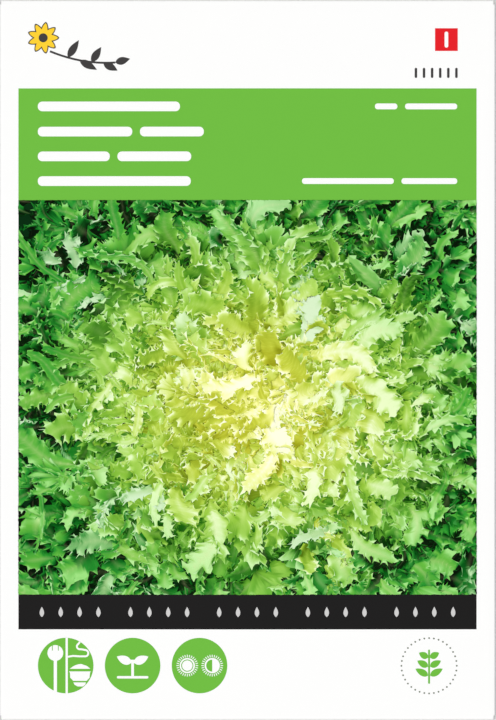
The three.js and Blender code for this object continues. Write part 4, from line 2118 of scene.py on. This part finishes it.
@dataclass
class SeedFill:
    """The seeds in the packet that have no solids of their own, in a shallow heap."""

    sheet: FoldedSheet
    layers: Sequence[tuple[int, float]] = ((270, 1.0), (240, 0.92), (150, 0.7))  # seeds, share of reach
    length: float = 2.7 * MM
    width: float = 1.1 * MM
    depth: float = 0.86 * MM
    layer_step: float = 0.36 * MM
    clearance: float = 0.05 * MM  # under the paper
    sides: int = 6
    profile: Sequence[Place] = ((0.0, 0.34), (0.18, 0.6), (0.5, 0.9), (0.82, 1.0), (1.0, 0.93))
    seed: int = 4  # start of the random draws

    def build(self) -> Iterator[Piece]:
        """Models one seed and copies it through the heap.

        Returns:
            The heap, the only piece.
        """
        pattern = self.one_seed()
        pattern.data.calc_loop_triangles()
        corners = np.array([v.co[:] for v in pattern.data.vertices]) - (self.length / 2, 0, 0)
        faces = np.array(sorted(t.vertices[:] for t in pattern.data.loop_triangles))
        bpy.data.objects.remove(pattern)
        rng = np.random.default_rng(self.seed)
        points = []
        for place in self.places():
            seed = self.tumbled(corners, rng) + place
            seed[:, 2] -= seed[:, 2].min() - place[2]
            ceiling = self.sheet.front(seed[:, 0], seed[:, 1]) - self.sheet.paper - self.clearance
            if (seed[:, 2] < ceiling).all():
                points.append(seed)
        triangles = [faces + len(corners) * index for index in range(len(points))]
        heap = mesh_piece("loose_seeds", np.concatenate(points), np.concatenate(triangles))
        heap.data.materials.append(SEED_HUSK.material())
        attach(heap, ROOT)
        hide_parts("seed_heap")
        LOG.info("loose seeds: %d", len(points))
        yield heap

    def one_seed(self) -> Piece:
        """Models one seed along +X: narrow at its foot, ribbed, and blunt at its top.

        Returns:
            The seed.
        """
        add = bpy.ops.mesh.primitive_circle_add
        seed = started(add, vertices=self.sides, radius=self.width / 2, fill_type="TRIFAN")
        seed.rotation_euler = (0, math.pi / 2, 0)
        settle(seed)
        first = self.profile[0][1]
        seed.scale = (1, first, first * self.depth / self.width)
        settle(seed)
        with editing(seed):
            for (before, held), (along, share) in zip(self.profile, self.profile[1:]):
                move = {"value": ((along - before) * self.length, 0, 0)}
                bpy.ops.mesh.extrude_region_move(TRANSFORM_OT_translate=move)
                bpy.ops.transform.resize(value=(1, share / held, share / held))
            bpy.ops.mesh.select_all(action="SELECT")
            bpy.ops.mesh.normals_make_consistent(inside=False)
        return seed

    def places(self) -> Iterator[Points]:
        """Where the foot of each seed goes, layer by layer, spread evenly by the golden angle.

        Returns:
            The places, one by one.
        """
        low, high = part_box("seed_heap")
        middle, half = (low + high) / 2, 0.93 * (high - low) / 2
        floor = self.sheet.back_z + self.sheet.paper / 2 + 0.03 * MM
        for level, (count, share) in enumerate(self.layers):
            for index in range(count):
                far = share * math.sqrt((index + 0.5) / count)
                turn = index * math.pi * (3 - math.sqrt(5)) + level
                x, y = middle.x + far * half.x * math.cos(turn), middle.y + far * half.y * math.sin(turn)
                yield np.array([x, y, floor + level * self.layer_step])

    @staticmethod
    def tumbled(corners: Points, rng: np.random.Generator) -> Points:
        """Grows a seed a little or less, tips it and turns it, at random.

        Args:
            corners: The seed's points.
            rng: The random draws.

        Returns:
            Its points after that.
        """
        yaw, pitch = rng.uniform(0, 2 * math.pi), rng.normal(0, 0.08)
        x, y, z = (corners * rng.uniform(0.88, 1.1)).T
        ahead, up = turned(x, z, pitch)
        return np.stack([*turned(ahead, y, yaw), up], -1)


# ---------------- studio


@dataclass
class Studio:
    """A plain pale floor, even soft light, and a camera that looks straight down."""

    floor_size: float = 3.0
    distance: float = 1.2  # from the camera to the plane of the print
    view_height: float = 160 * MM
    view_x: float = 0.11 * MM  # middle of the view
    plane: float = 0.9 * MM
    sky: float = 0.312
    suns: Sequence[tuple[float, float, float]] = (  # way round, angle above the floor, strength
        (-50, 50, 1.144),
        (130, 50, 0.645),
        (40, 48, 0.645),
        (-140, 48, 0.645),
    )

    def build(self) -> None:
        """Builds the floor, the lights and the camera."""
        scene = bpy.context.scene
        scene.view_settings.view_transform = "Standard"
        scene.view_settings.look = "None"
        self.floor()
        scene.world = self.sky_light()
        self.suns_round()
        scene.camera = self.camera()

    def floor(self) -> None:
        """Lays a pale floor just under the packet."""
        add = bpy.ops.mesh.primitive_grid_add
        floor = started(add, x_subdivisions=4, y_subdivisions=4, size=self.floor_size)
        floor.name = "studio_floor"
        floor.location = (0, 0, -0.01 * MM)
        settle(floor)
        floor.data.materials.append(PALE_FLOOR.material())

    def sky_light(self) -> bpy.types.World:
        """Makes a dim even sky.

        Returns:
            The sky.
        """
        sky = bpy.data.worlds.new("soft_sky")
        sky.use_nodes = True
        inputs = sky.node_tree.nodes["Background"].inputs
        inputs["Color"].default_value = (1, 1, 1, 1)
        inputs["Strength"].default_value = self.sky
        return sky

    def suns_round(self) -> None:
        """Sets broad suns round the packet."""
        for index, (way, above, strength) in enumerate(self.suns):
            light = bpy.data.lights.new(f"soft_sun_{index}", "SUN")
            light.energy = strength
            light.angle = math.radians(30)
            lamp = bpy.data.objects.new(f"soft_sun_{index}", light)
            lamp.rotation_euler = (math.radians(90 - above), 0, math.radians(way))
            bpy.context.collection.objects.link(lamp)

    def camera(self) -> Piece:
        """Sets a long lens straight above, the packet's top upwards.

        Returns:
            The camera.
        """
        data = bpy.data.cameras.new("camera")
        data.sensor_width = 36
        data.lens = data.sensor_width * self.distance / self.view_height
        data.clip_start, data.clip_end = 0.05, 20
        camera = bpy.data.objects.new("camera", data)
        camera.location = (self.view_x, 0, self.plane + self.distance)
        bpy.context.collection.objects.link(camera)
        return camera


# ---------------- main


def main() -> None:
    """Builds the packet's pieces in order and reports them."""
    logging.basicConfig(level=logging.INFO, format="%(name)s: %(message)s")
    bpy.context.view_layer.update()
    sheet = FoldedSheet()
    paper = sheet.build()
    LOG.info("%s: %d faces", paper.name, len(paper.data.polygons))
    front, back = PrintedSide(paper), PrintedSide(paper, Face.BACK)
    prints = [kind(front) for kind in (Header, SloganBand, CornerMarks, CareSigns, RoundSeal)]
    prints += [FrilledHead(front, sheet=sheet), BackPrint(back)]
    insides = [SeedFill(sheet), CarriedOver("seed_[0-9]*", SEED_HUSK), CarriedOver("*_glue", DRIED_GLUE)]
    for part in prints + insides:
        for piece in part.build():
            LOG.info("%s: %d faces", piece.name, len(piece.data.polygons))
    Studio().build()


if __name__ == "__main__":
    main()
